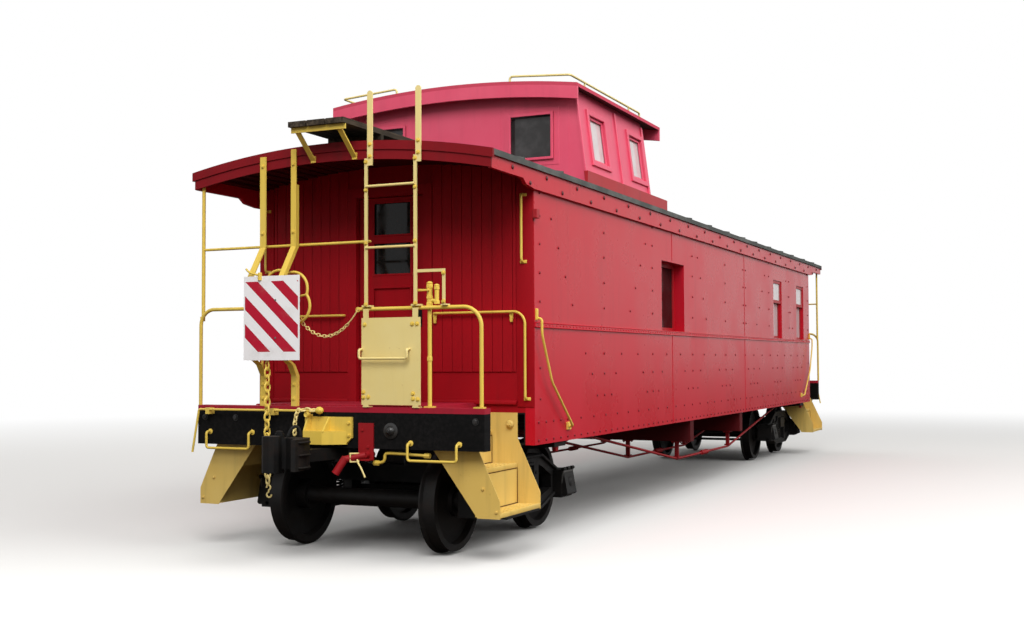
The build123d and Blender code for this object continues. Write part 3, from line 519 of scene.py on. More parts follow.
deck_red = paint("deck red", (0.36, 0.009, 0.028), (0.24, 0.014, 0.02), 0.55, 0.6, 0.2, rust=0.8)
rod_red = paint("rod red", (0.3, 0.006, 0.01), (0.18, 0.012, 0.014), 0.5, 0.4, 0.2, rust=0.8)

# %% Yellow paints
rail_yellow = paint(
    "rail yellow", (0.72, 0.5, 0.075), (0.76, 0.57, 0.13), 0.42, 0.3, 0.25,
    rust=0.9, rust_colour=(0.25, 0.08, 0.02),
)
rail_cream = paint(
    "rail cream", (0.76, 0.62, 0.26), (0.72, 0.54, 0.17), 0.4, 0.3, 0.3,
    streaks=0.2, rust=0.9, rust_colour=(0.28, 0.09, 0.02),
)
step_yellow = paint(
    "step yellow", (0.7, 0.5, 0.15), (0.66, 0.41, 0.07), 0.45, 0.35, 0.2,
    streaks=0.35, rust=0.9, rust_colour=(0.2, 0.06, 0.015),
)

# %% Metals, roofs and woods
rust_brown = iron(
    "rust brown", (0.07, 0.02, 0.006), (0.16, 0.05, 0.012), (0.03, 0.012, 0.005), 0.85, 0.8, 0.1
)
boss_iron = iron(
    "boss iron", (0.009, 0.009, 0.009), (0.02, 0.014, 0.01), (0.02, 0.018, 0.016), 0.35, 0.4
)
# A pale grey iron; on the lid rims its paleness is a painted highlight of the light that their
# edges catch.
pale_iron = iron(
    "pale iron", (0.16, 0.16, 0.155), (0.05, 0.035, 0.028), (0.1, 0.09, 0.08), 0.5, 0.4,
    metallic=0.4,
)
dark_iron = iron(
    "dark iron", (0.005, 0.005, 0.005), (0.02, 0.01, 0.007), (0.02, 0.016, 0.012), 0.6, 0.5, 0.15
)
truck_black = iron(
    "truck black", (0.004, 0.004, 0.004), (0.014, 0.009, 0.007), (0.025, 0.02, 0.016), 0.6, 0.5, 0.3
)
wheel_steel = iron(
    "wheel steel", (0.004, 0.0037, 0.0035), (0.014, 0.008, 0.006), (0.02, 0.015, 0.012),
    0.55, 0.5, 0.25,
)
spring_steel = iron(
    "spring steel", (0.012, 0.011, 0.01), (0.03, 0.018, 0.01), (0.03, 0.025, 0.02), 0.5, 0.5,
    metallic=0.5,
)
roof_black = iron(
    "roof black", (0.07, 0.075, 0.07), (0.13, 0.13, 0.118), (0.3, 0.3, 0.28), 0.85, 0.6, 0.3
)
# Its dark Under colour is painted shade on the roof's underside.
cupola_roof = finish(
    "cupola roof", painted_edges,
    {"Edge": (0.6, 0.05, 0.1), "Top": (0.035, 0.037, 0.034), "Under": (0.05, 0.012, 0.012)},
    0.5, 0.2,
)
sill_black = wood("sill black", (0.008, 0.007, 0.007), (0.003, 0.003, 0.003), 0.5, 0.12)
walk_wood = wood("weathered wood", (0.1, 0.075, 0.05), (0.02, 0.015, 0.011), 0.8, 0.2, 0.004)
deck_wood = wood("deck wood", (0.2, 0.13, 0.08), (0.05, 0.03, 0.02), 0.8)

# %% [markdown]
# ## Glass and the striped board
# Window glass is a plain clear shader, and a film of dust changes only its
# colour and its roughness. The panes' colour is painted light: the dark panes
# are painted shade of the unlit inside, and the pale ones a painted reflection
# of the sky. The board at the end has red and white diagonals.
# They come from the height and the width of each point added together, cut
# into equal bands.

# %% Glass
def window_glass(name, colour, film_colour, film_share, shine):
    """A pane under a film of dust. Its colour is painted light: dark for the shade inside, pale for
    the sky's reflection.
    """
    material, tree, shader = new_material(name)
    film = times(ramp(noise(tree, 6.0, 6.0), 0.35, 0.75), film_share)
    feed(shader, {
        "Base Color": mix(film, colour, film_colour),
        "Roughness": plus(0.04, times(film, 0.25)),
        "Transmission Weight": 0.1,
        "IOR": 1.45,
        "Specular IOR Level": shine,
    })
    return material


# The cupola and door panes are dark as painted shade of the inside; the side panes are pale as a
# painted reflection of the sky.
cupola_glass = window_glass("window glass", (0.022, 0.02, 0.02), (0.09, 0.085, 0.085), 0.5, 0.4)
dark_glass = window_glass("door glass", (0.006, 0.006, 0.006), (0.03, 0.03, 0.03), 0.4, 0.2)
pale_glass = window_glass("pale glass and painted reflection", (0.68, 0.6, 0.6), (0.5, 0.44, 0.43), 0.5, 0.5)

# %% Striped board
striped, tree, shader = new_material("striped board")
spot = follow("SeparateXYZ", {0: add_node(tree, "TexCoord").outputs["Object"]})
stripe_pitch, stripe_slope, stripe_start, red_share = 0.261, 1.1, 2.0605, 0.49
board_low, board_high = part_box("warning_board")
slope = maths("SUBTRACT", spot["Y"], times(spot["Z"], stripe_slope))
slope = plus(slope, stripe_start + 40 * stripe_pitch)
band = maths("FRACT", maths("DIVIDE", slope, stripe_pitch), 0)
is_red = maths("GREATER_THAN", band, 1 - red_share)
# Columns: axis, edge of the stripes, and on which side of it they lie
for axis, edge, side in (
    ("Y", board_low[1] + 0.012, "GREATER_THAN"),
    ("Y", board_high[1] - 0.012, "LESS_THAN"),
    ("Z", board_low[2] + 0.07, "GREATER_THAN"),
    ("Z", board_high[2] - 0.045, "LESS_THAN"),
):
    is_red = times(is_red, maths(side, spot[axis], edge))
dirt = noise(tree, 5.0, 7.0, 0.7)
stripes = mix(is_red, (0.86, 0.84, 0.84), (0.45, 0.006, 0.028))
smear = times(ramp(dirt, 0.5, 0.8), 0.25)
feed(shader, {
    "Base Color": mix(smear, stripes, (0.3, 0.22, 0.16)),
    "Roughness": plus(0.3, times(dirt, 0.25)),
    "Specular IOR Level": 0.2,
})

# %% [markdown]
# ## Finishes on the ready-made solids
# A solid keeps its shape and place, and only takes a material. The table
# pairs each finish with the starts of the solids' names, and where two of
# them fit a name, the longer one wins.

# %% Paint the solids
finishes = [
    (side_red, "side_wall letter_boards"),
    (end_red, "end_wall door_"),
    (cupola_red_and_sheen, "cupola_sides cupola_ends cupola_fascias"),
    (fascia_red, "roof_fascias"),
    (trim_red, "side_window_sashes cupola_drip_boards"),
    (deck_red, "platforms"),
    # The needle beams' dark red is partly painted shade.
    (beam_red_and_shade, "needle_beams"),
    (rod_red, "queen_posts truss_rods train_pipes"),
    (rail_yellow, "walk_brackets strikers brake_posts brake_wheels railings grab_irons"),
    (rail_yellow, "uncoupling_levers stand_pipes"),
    (rail_cream, "cupola_grab_rails ladders gate_plates"),
    (step_yellow, "steps_"),
    (roof_black, "roof"),
    (cupola_roof, "cupola_roof"),
    (walk_wood, "roof_walk"),
    (deck_wood, "floor"),
    (sill_black, "end_sills"),
    (dark_iron, "centre_sill side_sills body_bolsters air_brake coupler_"),
    (truck_black, "truck_"),
    (wheel_steel, "wheelset_"),
    (pale_glass, "side_window_glass"),
    (dark_glass, "large_window_glass door_a_glass door_b_glass"),
    (cupola_glass, "cupola_glass"),
    (striped, "warning_board"),
]
finish_of = {start: material for material, starts in finishes for start in starts.split()}
for name, obj in nodes.items():
    start = max((key for key in finish_of if name.startswith(key)), key=len)
    obj.data.materials.clear()
    obj.data.materials.append(finish_of[start])
print("painted", len(nodes), "solids")

# %% [markdown]
# ## Rivets in the side sheets
# The sheets are riveted to the posts and braces behind them, so the rivets
# draw the frame of the car on its skin: upright rows at the posts, slanted
# rows at the braces, and two rows along the bottom. One domed head is
# modelled from a short rod, whose outer face is inset and pulled out. A bolt
# is a washer with a six-sided head.

# %% Heads
def domed_head(radius, rise, sides=8):
    """A domed head on the plane y = 0, facing -Y, around the origin."""
    head = add_rod((0, rise * 0.15, 0), (0, -rise * 0.5, 0), radius, sides)
    return smooth(shape_faces(head, "-y", radius * 0.45, rise * 0.5), 60)


def hex_bolt(radius, rise):
    """A washer with a six-sided head on the plane y = 0, facing -Y."""
    washer = add_rod((0, 0.001, 0), (0, -rise * 0.22, 0), radius * 1.45, 12)
    head = add_rod((0, 0, 0), (0, -rise * 0.85, 0), radius, 6)
    return join([washer, shape_faces(head, "-y", radius * 0.16, rise * 0.15)])


def facing(way, spot):
    """The move of a head onto a surface that looks this way."""
    turned = Vector((0, -1, 0)).rotation_difference(Vector(way)).to_matrix().to_4x4()
    return Matrix.Translation(spot) @ turned


def bolts(radius, rise, way, spots):
    """Hexagon bolts on surfaces that look one way."""
    return copies(hex_bolt(radius, rise), [facing(way, spot) for spot in spots])


print("heads ready")

# %% Where the rivets are
side_face = -1.432
rows_up = (2.9, 2.655, 2.405, 2.155)
posts = (-5.79, -4.2, -2.69, -1.16, 0.36, 1.32, 1.46, 2.88, 4.3, 5.79)
# Columns: x beside the top row, x beside the bottom row of each slanted line
braces = ((-5.53, -5.035), (-2.92, -3.43), (-0.93, -0.56), (2.62, 2.1), (4.08, 4.55))
# Columns: height of a row, how far its outer rivets stand from the post
fans = ((1.71, 0.5), (1.515, 0.33), (1.305, 0.2))
fan_posts = (-4.21, -2.7, -1.17, 0.36, 1.9, 3.42, 4.9)
# Columns: the two sides of each window
windows = ((-2.36, -1.5), (3.19, 3.77), (4.86, 5.44))
low_row, next_row, low_start, low_pitch, low_count = 0.955, 1.11, -5.83, 0.165, 71

rivets = [(x, z) for x in posts for z in rows_up]
for top_x, low_x in braces:
    rivets += [(top_x + (low_x - top_x) * k / 3, z) for k, z in enumerate(rows_up)]
rivets += [(x, 3.1) for x in (-5.79, -2.69, 2.88, 5.79)]
rivets += [(x + k * reach, z) for x in fan_posts for z, reach in fans for k in (-1, 0, 1)]
rivets += [(x, z) for x in (-5.79, 5.79) for z in (1.58, 1.31)]
for step in range(low_count):
    x = low_start + step * low_pitch
    rivets.append((x, low_row))
    if step % 2 == 0 or step < 4:
        rivets.append((x, next_row))


def on_window(x, z):
    """True where a rivet would fall on a window."""
    return 1.95 < z < 3.0 and any(x0 - 0.02 < x < x1 + 0.02 for x0, x1 in windows)


moves = [shift(x, side_face, z) for x, z in rivets if not on_window(x, z)]
both_sides("side_rivets", [copies(domed_head(0.012, 0.009), moves)], rivet_red)

# %% [markdown]
# ## Sheet joints and the letter board's bolts
# Each side is three sheets. Where two meet, a narrow lap shows as a fine
# line. The letter board above them is held by large bolts in two rows.

# %% Laps and bolts
laps = []
# Columns: x of a joint, its foot, its top
for x, low, high in ((-1.965, 2.78, 3.1), (-1.965, 0.93, 1.92), (1.395, 0.93, 3.1)):
    lap = add_box((x - 0.012, side_face - 0.003, low), (x + 0.012, side_face + 0.002, high))
    laps.append(shape_faces(lap, "-y", 0.003, 0.001))
both_sides("sheet_laps", laps, side_red)

board_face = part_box("letter_boards")[0][1]
# The bolts stand in zigzag, now in the upper row and now in the lower one
bolt_x, bolt_pitch, bolt_count, bolt_zs = -6.42, 0.357, 37, (3.235, 3.15)
moves = [shift(bolt_x + k * bolt_pitch, board_face, bolt_zs[k % 2]) for k in range(bolt_count)]
head = domed_head(0.019, 0.011, 10)
both_sides("letter_board_bolts", [copies(head, moves)], bolt_red)

# %% [markdown]
# ## The belt
# A flat strip runs along each side under the windows. It gets two rolled
# edges and a close row of small rivets between them.

# %% Belt edges and rivets
belt_z, belt_face, half_length, half_height = 1.95, -1.444, 5.9, 0.018
rivet_x, rivet_pitch, rivet_count = -5.84, 0.08, 147
belt = []
for z in (belt_z - half_height, belt_z + half_height):
    low = (-half_length, belt_face - 0.004, z - 0.006)
    high = (half_length, belt_face + 0.01, z + 0.006)
    belt.append(soften(add_box(low, high), 0.004))
moves = [shift(rivet_x + rivet_pitch * k, belt_face, belt_z) for k in range(rivet_count)]
belt.append(copies(domed_head(0.0075, 0.006, 6), moves))
both_sides("belt", belt, side_red)

# %% [markdown]
# ## Boards on the end walls
# The ends are sheathed with narrow upright boards above a plain band. Each
# board is a slab whose front face is inset, which leaves the small chamfer
# that makes the dark line between two boards. Their tops follow the roof.

# %% The roof's curve
roof_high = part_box("roof")[1]
roof_rise, roof_t = 0.157, 0.052
roof_radius = (roof_high[1] ** 2 + roof_rise ** 2) / (2 * roof_rise)


def on_roof(y):
    """The height of the roof's top at y."""
    return roof_high[2] - roof_radius + math.sqrt(roof_radius ** 2 - y * y)


def under_roof(y):
    """The height of the roof's underside at y."""
    return on_roof(y) - roof_t


print("roof radius", round(roof_radius, 3), "m")

# %% End wall boards
end_wall_face, board_pitch, board_foot, board_t = -5.905, 0.0985, 1.545, 0.01
door_edge, last_edge = 0.44, 1.262
boards = []
for side in (-1, 1):
    start = door_edge + 0.002
    while start < last_edge:
        end = min(start + board_pitch, last_edge)
        low = (end_wall_face - board_t, side * (start + 0.002), board_foot)
        high = (end_wall_face + 0.002, side * (end - 0.002), under_roof(end))
        boards.append(shape_faces(add_box(low, high), "-x", 0.004, 0.003))
        start += board_pitch
both_ends("end_boards", boards, end_red)

# %% [markdown]
# The corner of each end is a plain upright post cover, and the band below
# the boards ends in a low sill strip on the deck.

# %% Corner covers and sill strips
back = end_wall_face + 0.002
covers = []
for side in (-1, 1):
    high = (back, side * 1.43, under_roof(1.43))
    cover = add_box((end_wall_face - 0.012, side * 1.272, 1.245), high)
    covers.append(soften(cover, 0.004))
    high = (back, side * 1.268, 1.3)
    sill = add_box((end_wall_face - 0.03, side * door_edge, 1.265), high)
    covers.append(soften(sill, 0.006))
both_ends("corner_covers", covers, end_red)

# %% [markdown]
# ## More helpers: rings, tubes, springs and chains
# A ring is a box whose two large faces are inset and then bridged, which
# opens the middle. A tube is a curve with a round bevel. A chain is one torus
# stretched into a link, and copied along a hanging line, turning each time.

# %% Rings, tubes and coils
def ring(low, high, width, bevel=0.003):
    """A frame in a plane y = constant, with a border of this width."""
    return soften(shape_faces(add_box(low, high), "y", width, bridge=True), bevel, 1)


def tube(points, radius, sides=2, order=3):
    """A smooth round bar along a few points."""
    clear_selection()
    line = bpy.data.curves.new("line", "CURVE")
    line.dimensions = "3D"
    line.bevel_depth, line.bevel_resolution = radius, sides
    line.use_fill_caps = True
    line.resolution_u = 5
    spline = line.splines.new("NURBS")
    spline.points.add(len(points) - 1)
    for point, spot in zip(spline.points, points):
        point.co = (*spot, 1)
    spline.order_u, spline.use_endpoint_u = order, True
    pick(add_object("tube", line))
    bpy.ops.object.convert(target="MESH")
    return smooth(bpy.context.active_object, 50)


def coil(centre, low, high, radius, wire, turns):
    """A coil spring standing on z = low."""
    steps = 9
    points = []
    for step in range(int(turns * steps) + 1):
        angle = math.radians(360) * step / steps
        lift = low + wire + (high - low - 2 * wire) * step / (turns * steps)
        x, y = radius * math.cos(angle), radius * math.sin(angle)
        points.append((centre[0] + x, centre[1] + y, lift))
    return tube(points, wire, 1)


print("ring, tube and coil ready")

# %% Chains
def add_torus(radius, wire, segments, sides, stretch=(1, 1, 1), **where):
    """A torus, stretched along the axes."""
    clear_selection()
    bpy.ops.mesh.primitive_torus_add(
        major_segments=segments, minor_segments=sides, major_radius=radius, minor_radius=wire,
        **where,
    )
    return smooth(settle(stretch), 60)


def chain(points, length, wire):
    """Links along a line of points, each turned a quarter from the last."""
    spots = [Vector(point) for point in points]
    total = sum((b - a).length for a, b in zip(spots, spots[1:]))
    count = max(2, round(total / (length * 0.72)))
    moves = []
    for step in range(count):
        want = total * (step + 0.5) / count
        for a, b in zip(spots, spots[1:]):
            run = (b - a).length
            if want <= run:
                break
            want -= run
        along = Vector((1, 0, 0)).rotation_difference(b - a).to_matrix().to_4x4()
        spin = Matrix.Rotation(math.pi / 2 * (step % 2) + 0.4, 4, "X")
        moves.append(Matrix.Translation(a.lerp(b, min(1.0, want / run))) @ along @ spin)
    return copies(add_torus(length * 0.3, wire, 12, 5, (1.5, 1, 1)), moves)


def hanging(start, end, sag, steps=9):
    """Points on a slack line between two hooks."""
    line = []
    for step in range(steps + 1):
        share = step / steps
        drop = Vector((0, 0, sag * 4 * share * (1 - share)))
        line.append(Vector(start).lerp(Vector(end), share) - drop)
    return line


print("chains can be hung")

# %% [markdown]
# ## The cupola's frames and battens
# Each of its windows has a raised frame. The side walls lean in, so their
# frames are made upright and then tipped by the same angle as the wall.

# %% Cupola end trim
cupola_low, cupola_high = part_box("cupola_ends")
pane_low, pane_high = (corner[2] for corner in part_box("cupola_glass"))


def batten(x, low, high):
    """An upright strip in the plane y = 0."""
    strip = add_box((x - 0.022, -0.016, low), (x + 0.022, 0.002, high))
    return shape_faces(strip, "-y", 0.006, 0.004)


trims = []
for out, wall in ((-1, cupola_low[0]), (1, cupola_high[0])):
    outward = turn(-90 * out, "Z")
    for y in (-0.825, 0.825):
        # Columns: half the frame's width, its back and front, its growth past the pane, its border
        for half, y0, y1, grow, border in (
            (0.295, -0.022, 0.004, 0.055, 0.055),
            (0.24, 0.012, 0.03, 0, 0.026),
        ):
            low, high = (-half, y0, pane_low - grow), (half, y1, pane_high + grow)
            piece = ring(low, high, border)
            trims.append(moved(piece, shift(wall, y, 0) @ outward))
    for y, low, high in ((1.2, 3.42, 4.13), (0.47, 3.475, 4.21)):
        for side in (-1, 1):
            trims.append(moved(batten(0, low, high), shift(wall, side * y, 0) @ outward))
place("cupola_end_trim", trims, cupola_red_and_sheen)

# %% Cupola side trim
side_foot_y, side_foot_z = -1.395, 3.375
side_lean = math.degrees(math.atan(0.105 / 0.82))
tip = shift(0, side_foot_y, side_foot_z) @ turn(-side_lean, "X") @ shift(0, 0, -side_foot_z)
trims = [batten(x, 3.46, 4.23) for x in (-4.565, -3.5, -2.64)]
for x0, x1 in ((-4.3, -3.87), (-3.13, -2.71)):
    for border, y0, y1, grow in ((0.05, -0.02, 0.004, 0.05), (0.028, 0.008, 0.026, 0)):
        low, high = (x0 - grow, y0, pane_low - grow), (x1 + grow, y1, pane_high + grow)
        trims.append(ring(low, high, border))
both_sides("cupola_side_trim", [moved(join(trims), tip)], cupola_red_and_sheen)

# %% [markdown]
# ## Roof seams and the ceilings over the platforms
# The roof's metal sheets are lapped every 0.85 m or so, and each lap stands up
# as a low ridge from eave to eave. Under the overhangs the ceiling is boarded.

# %% Roof seams
seam_xs = (-6.2, -5.35, -1.3, -0.415, 0.45, 1.3, 2.0, 2.88, 3.71, 4.5, 5.4, 6.2)
seam_ys = [-1.475 + 0.295 * k for k in range(11)]
seam = tube([(0, y, on_roof(y)) for y in seam_ys], 0.02, 1)
place("roof_seams", [copies(seam, [shift(x, 0, 0) for x in seam_xs])], roof_black)

# %% Ceiling boards
# The boards' red is made very dark, as painted shade under the overhangs.
overhang_x = -6.795
eave_y, slat_pitch, slat_count = -1.428, 0.1098, 26
edges = [eave_y + slat_pitch * k for k in range(slat_count + 1)]
boards = []
for y0, y1 in zip(edges, edges[1:]):
    top = min(under_roof(y0), under_roof(y1)) - 0.001
    low = (overhang_x, y0 + 0.002, top - 0.012)
    board = add_box(low, (end_wall_face, y1 - 0.002, top + 0.004))
    boards.append(shape_faces(board, "-z", 0.005, 0.003))
both_ends("ceiling_boards", boards, ceiling_red_and_shade)

# %% [markdown]
# ## Door furniture
# A knob on its plate, and a thin moulding round each pane and panel.

# %% Door knob and mouldings
door_face, knob_y, knob_z = -5.865, -0.285, 2.03
ball = add_ball((door_face - 0.055, knob_y, knob_z), 0.026, (0.8, 1, 1), 16, 10)
neck_end = (door_face - 0.045, knob_y, knob_z)
neck = add_rod((door_face, knob_y, knob_z), neck_end, 0.01, 12)
plate = add_box((door_face - 0.004, -0.31, 1.95), (door_face + 0.001, -0.26, 2.11))
both_ends("door_knob", [soften(plate, 0.0015, 1), neck, ball], dark_iron, "door_a")
mouldings = []
# Columns: foot and top of a pane or panel, how deep its moulding reaches in
for z0, z1, deep in (
    (2.422, 2.737, 0.004), (2.782, 3.105, 0.004), (1.885, 2.325, 0.012), (1.365, 1.805, 0.012)
):
    mouldings.append(ring((-0.207, -0.006, z0), (0.207, deep, z1), 0.018))
mouldings = moved(join(mouldings), shift(door_face, 0, 0) @ turn(90, "Z"))
both_ends("door_mouldings", [mouldings], end_red, "door_a")

# %% [markdown]
# ## Small rigging on the platforms
# The end railings carry a brake chain, a slack safety chain, the valves of
# the stand pipe and many bolt heads. All are made once, at end A.

# %% Brake chain and its clevis
chain_x = -7.0
chain_line = [(chain_x, 0.55, 1.645), (chain_x, 0.55, 1.02)]
both_ends("brake_chain", [chain(chain_line, 0.085, 0.0085)], rail_yellow)
# Columns: x, y and z of the clevis, a bar bent round the last link
clevis = tube([
    (-7.012, 0.535, 0.905), (chain_x, 0.525, 0.95), (chain_x, 0.53, 1.02), (chain_x, 0.55, 1.05),
    (chain_x, 0.57, 1.02), (chain_x, 0.575, 0.95), (-7.012, 0.565, 0.905),
], 0.008)
pin = add_rod((-7.01, 0.515, 0.915), (-7.01, 0.585, 0.915), 0.009, 10)
both_ends("brake_clevis", [clevis, shape_faces(pin, "y", 0.003)], rail_yellow)

# %% Safety, lever and hook chains
safety_x = -6.85
slack_line = hanging((safety_x, 0.325, 1.995), (safety_x, -0.154, 1.953), 0.12)
slack = chain(slack_line, 0.042, 0.0042)
hook_line = [(safety_x, -0.14, 1.95), (safety_x, -0.185, 1.975), (safety_x, -0.25, 2.07)]
both_ends("safety_chain", [slack, tube(hook_line, 0.006)], rail_cream)

lift_line = [(-6.935, 0.275, 1.245), (-6.94, 0.297, 1.2), (-6.945, 0.307, 1.14)]
lift_chain = chain(lift_line + [(-6.95, 0.307, 1.03)], 0.05, 0.0065)
wound = chain([(-6.9, 0.285, 1.235), (-6.9, 0.13, 1.235)], 0.062, 0.0095)
both_ends("lever_chain", [lift_chain, wound], rail_cream)


def arc(y, z, wide, tall, first, last):
    """Points on an ellipse in the plane of the brake chain, a tenth of it apart."""
    angles = [math.radians(first + (last - first) * k / 10) for k in range(11)]
    return [(chain_x, y + wide * math.cos(a), z + tall * math.sin(a)) for a in angles]


low_chain = chain([(chain_x, 0.545, 0.9), (chain_x, 0.54, 0.62)], 0.085, 0.0085)
bends = arc(0.533, 0.588, 0.02, 0.02, -10, 260) + arc(0.527, 0.527, 0.024, 0.022, 80, -190)
both_ends("hanging_hook", [low_chain, tube(bends, 0.0075)], rail_cream)

# %% Eyes of the safety chain
eyes = []
for y, z in ((0.325, 2.0), (-0.25, 2.07)):
    where = {"location": (safety_x, y, z), "rotation": (0, math.pi / 2, 0)}
    eyes.append(add_torus(0.018, 0.005, 14, 6, **where))
both_ends("chain_eyes", eyes, rail_yellow)

# %% The lever's end and the pawl
ball = add_ball((-6.9, 0.095, 1.235), 0.031, (1, 1.25, 1))
eye = add_rod((-6.9, 0.2, 1.2), (-6.945, 0.2, 1.2), 0.02, 12)
both_ends("lever_end", [ball, shape_faces(eye, "-x", 0.006, -0.006)], rail_yellow)
pawl_line = [(-7.03, 0.6, 2.37), (-7.04, 0.66, 2.385), (-7.05, 0.71, 2.4), (-7.05, 0.735, 2.43)]
boss = add_rod((-7.04, 0.6, 2.33), (-7.04, 0.6, 2.39), 0.018, 10)
pawl = [tube(pawl_line, 0.009), shape_faces(boss, "+z", 0.005, 0.006)]
both_ends("pawl", pawl, rail_yellow)

# %% Valves of the stand pipe
pipe_x, pipe_y = -6.774, -0.885
valve_y = pipe_y - 0.066
valves = []
# Columns: y and z of a union nut, its radius, its height
for y, z, radius, tall in (
    (pipe_y, 2.1, 0.03, 0.03), (pipe_y, 2.16, 0.029, 0.022), (pipe_y, 2.25, 0.029, 0.026),
    (valve_y, 2.118, 0.026, 0.026), (valve_y, 2.235, 0.025, 0.024), (pipe_y, 1.66, 0.024, 0.03),
):
    nut = add_rod((pipe_x, y, z - tall / 2), (pipe_x, y, z + tall / 2), radius, 6)
    shape_faces(nut, "z", 0.005, resize=(1, 1, 1.25), about=(pipe_x, y, z))
    valves.append(nut)
handle_end, handle_z = pipe_y + 0.13, 2.219
low = (pipe_x - 0.032, pipe_y, handle_z - 0.007)
handle = add_box(low, (pipe_x - 0.025, handle_end, handle_z + 0.007))
shape_faces(handle, "+y", resize=(1, 1, 1.6), about=(pipe_x, handle_end, handle_z))
stem_end = (pipe_x - 0.038, pipe_y, handle_z)
stem = add_rod((pipe_x - 0.015, pipe_y, handle_z), stem_end, 0.012, 8)
valves += [soften(handle, 0.003, 1), shape_faces(stem, "-x", 0.003, 0.004)]
for y, z, radius in ((pipe_y, 2.275, 0.026), (valve_y, 2.255, 0.022)):
    valves.append(add_ball((pipe_x, y, z), radius, (1, 1, 0.6)))
both_ends("valve_details", valves, rail_yellow)

# %% [markdown]
# ## Bolt heads
# Plates, steps, brackets and posts are bolted. The places are tables of the
# heights at which bolts stand in upright rows.

# %% Bolts on the ladder, posts and sill
end_a = (-1, 0, 0)
end_sill_face, iron_face, striker_face = -6.838, -6.85, -6.863
# Columns: face, y of each row, z of each bolt in a row
rows = [
    (iron_face, (-0.315, -0.765, -0.81), (1.945,)),
    (iron_face, (-0.326, -0.792), (2.11, 2.62, 3.06, 3.295)),
    (iron_face, (-0.363, -0.821), (3.34, 3.44)),
    (iron_face, (0.712, 0.395), (2.75, 3.33)),
    (iron_face, (-1.052,), (2.35, 2.12)),
    (end_sill_face, (0.712, 0.395), (1.33, 1.45)),
    (striker_face, (-0.17,), (1.133, 1.03)),
    (striker_face, (0.24,), (1.15, 1.0)),
    (iron_face, (-0.304,), (1.389, 1.345)),
    (iron_face, (-0.771,), (1.338, 1.38)),
    (iron_face, (-0.35,), (1.35,)),
    (iron_face, (-0.816,), (1.334,)),
]
spots = [(x, y, z) for x, ys, zs in rows for y in ys for z in zs]
both_ends("end_bolts", [bolts(0.013, 0.014, end_a, spots)], rail_yellow)
bracket_spots = [(iron_face, -0.295, 1.077), (iron_face, -0.348, 0.939)]
both_ends("bracket_bolts", [bolts(0.012, 0.012, end_a, bracket_spots)], rod_red)
board_spots = [(board_low[0] + 0.002, 0.442, z) for z in (2.16, 1.841)]
place("board_heads", [bolts(0.009, 0.008, end_a, board_spots)], pale_iron)

# %% Sill bolts and collars
sill_spots = [(end_sill_face, y, 1.16) for y in (1.33, -1.33, 1.0)]
sill_heads = bolts(0.02, 0.018, end_a, sill_spots)
dome, cap = domed_head(0.066, 0.02, 24), domed_head(0.042, 0.042, 20)
nut = moved(hex_bolt(0.017, 0.02), shift(0, -0.036, 0))
boss = moved(join([dome, cap, nut]), facing(end_a, (end_sill_face, -0.56, 1.074)))
both_ends("sill_bolts", [sill_heads, boss], boss_iron)
collar_spots = [(0.822, 1.035), (1.272, 1.035), (-0.743, 0.977), (-1.187, 0.977)]
moves = [facing(end_a, (end_sill_face, y, z)) for y, z in collar_spots]
both_ends("iron_collars", [copies(domed_head(0.024, 0.008, 14), moves)], rail_yellow)

# %% Step bolts
step_face, riser_face = -6.713, -5.926
step_spots = ((0.93, 1.13), (1.12, 1.13), (1.25, 0.97), (1.33, 0.62), (1.45, 0.44), (1.0, 0.93))
step_spots = [(step_face, side * y, z) for y, z in step_spots for side in (-1, 1)]
step_bolts = bolts(0.012, 0.012, end_a, step_spots)
boss_bolt = moved(hex_bolt(0.016, 0.018), shift(0, -0.018, 0))
boss = join([domed_head(0.034, 0.02, 16), boss_bolt])
moves = [facing(end_a, (riser_face, y, 1.098)) for y in (-1.204, 1.204)]
both_ends("step_bolts", [step_bolts, copies(boss, moves)], step_yellow)

# %% [markdown]
# ## Step edges and deck planks
# Each tread has a rolled edge and rows of small cleats, and rust gathers in
# the corners of each riser. The decks are planked. A plank's top is inset
# and raised, so that the gaps between planks stay dark.

# %% Step edges
step_x0, step_x1 = -6.705, -5.922
lips = []
for side in (-1, 1):
    # Columns: height of a tread, y of its edge
    for z, y in ((0.425, 1.478), (0.76, 1.27), (1.035, 1.03)):
        high = (-5.914, side * (y + 0.0015), z + 0.006)
        lips.append(soften(add_box((step_x0, side * (y - 0.02), z - 0.034), high), 0.005))
both_ends("step_edges", lips, step_yellow)

# %% Step stains
stains = []
for side in (-1, 1):
    # Columns: z of the tread below, z under the lip above, y of the riser's face
    for z0, z1, y in ((0.425, 0.727, 1.27), (0.76, 1.002, 1.03)):
        for x0, x1, low, high, thick in (
            (step_x0, step_x1, z1 - 0.007, z1, 0.0035),
            (step_x0, step_x1, z0, z0 + 0.007, 0.008),
            (-6.706, -6.699, z0, z1, 0.004),
            (-5.929, -5.921, z0, z1, 0.004),
        ):
            line = add_box((x0, side * (y - 0.002), low), (x1, side * (y + thick), high))
            stains.append(soften(line, 0.0015, 1))
both_ends("step_stains", stains, rust_brown)

# %% Deck planks
plank_start, plank_pitch, plank_count = -0.872, 0.1455, 12
planks = []
for y in [plank_start + k * plank_pitch for k in range(plank_count)]:
    plank = add_box((-6.72, y + 0.003, 1.262), (-5.94, y + 0.1425, 1.274))
    planks.append(shape_faces(plank, "+z", 0.006, 0.003))
both_ends("deck_planks", planks, deck_red)

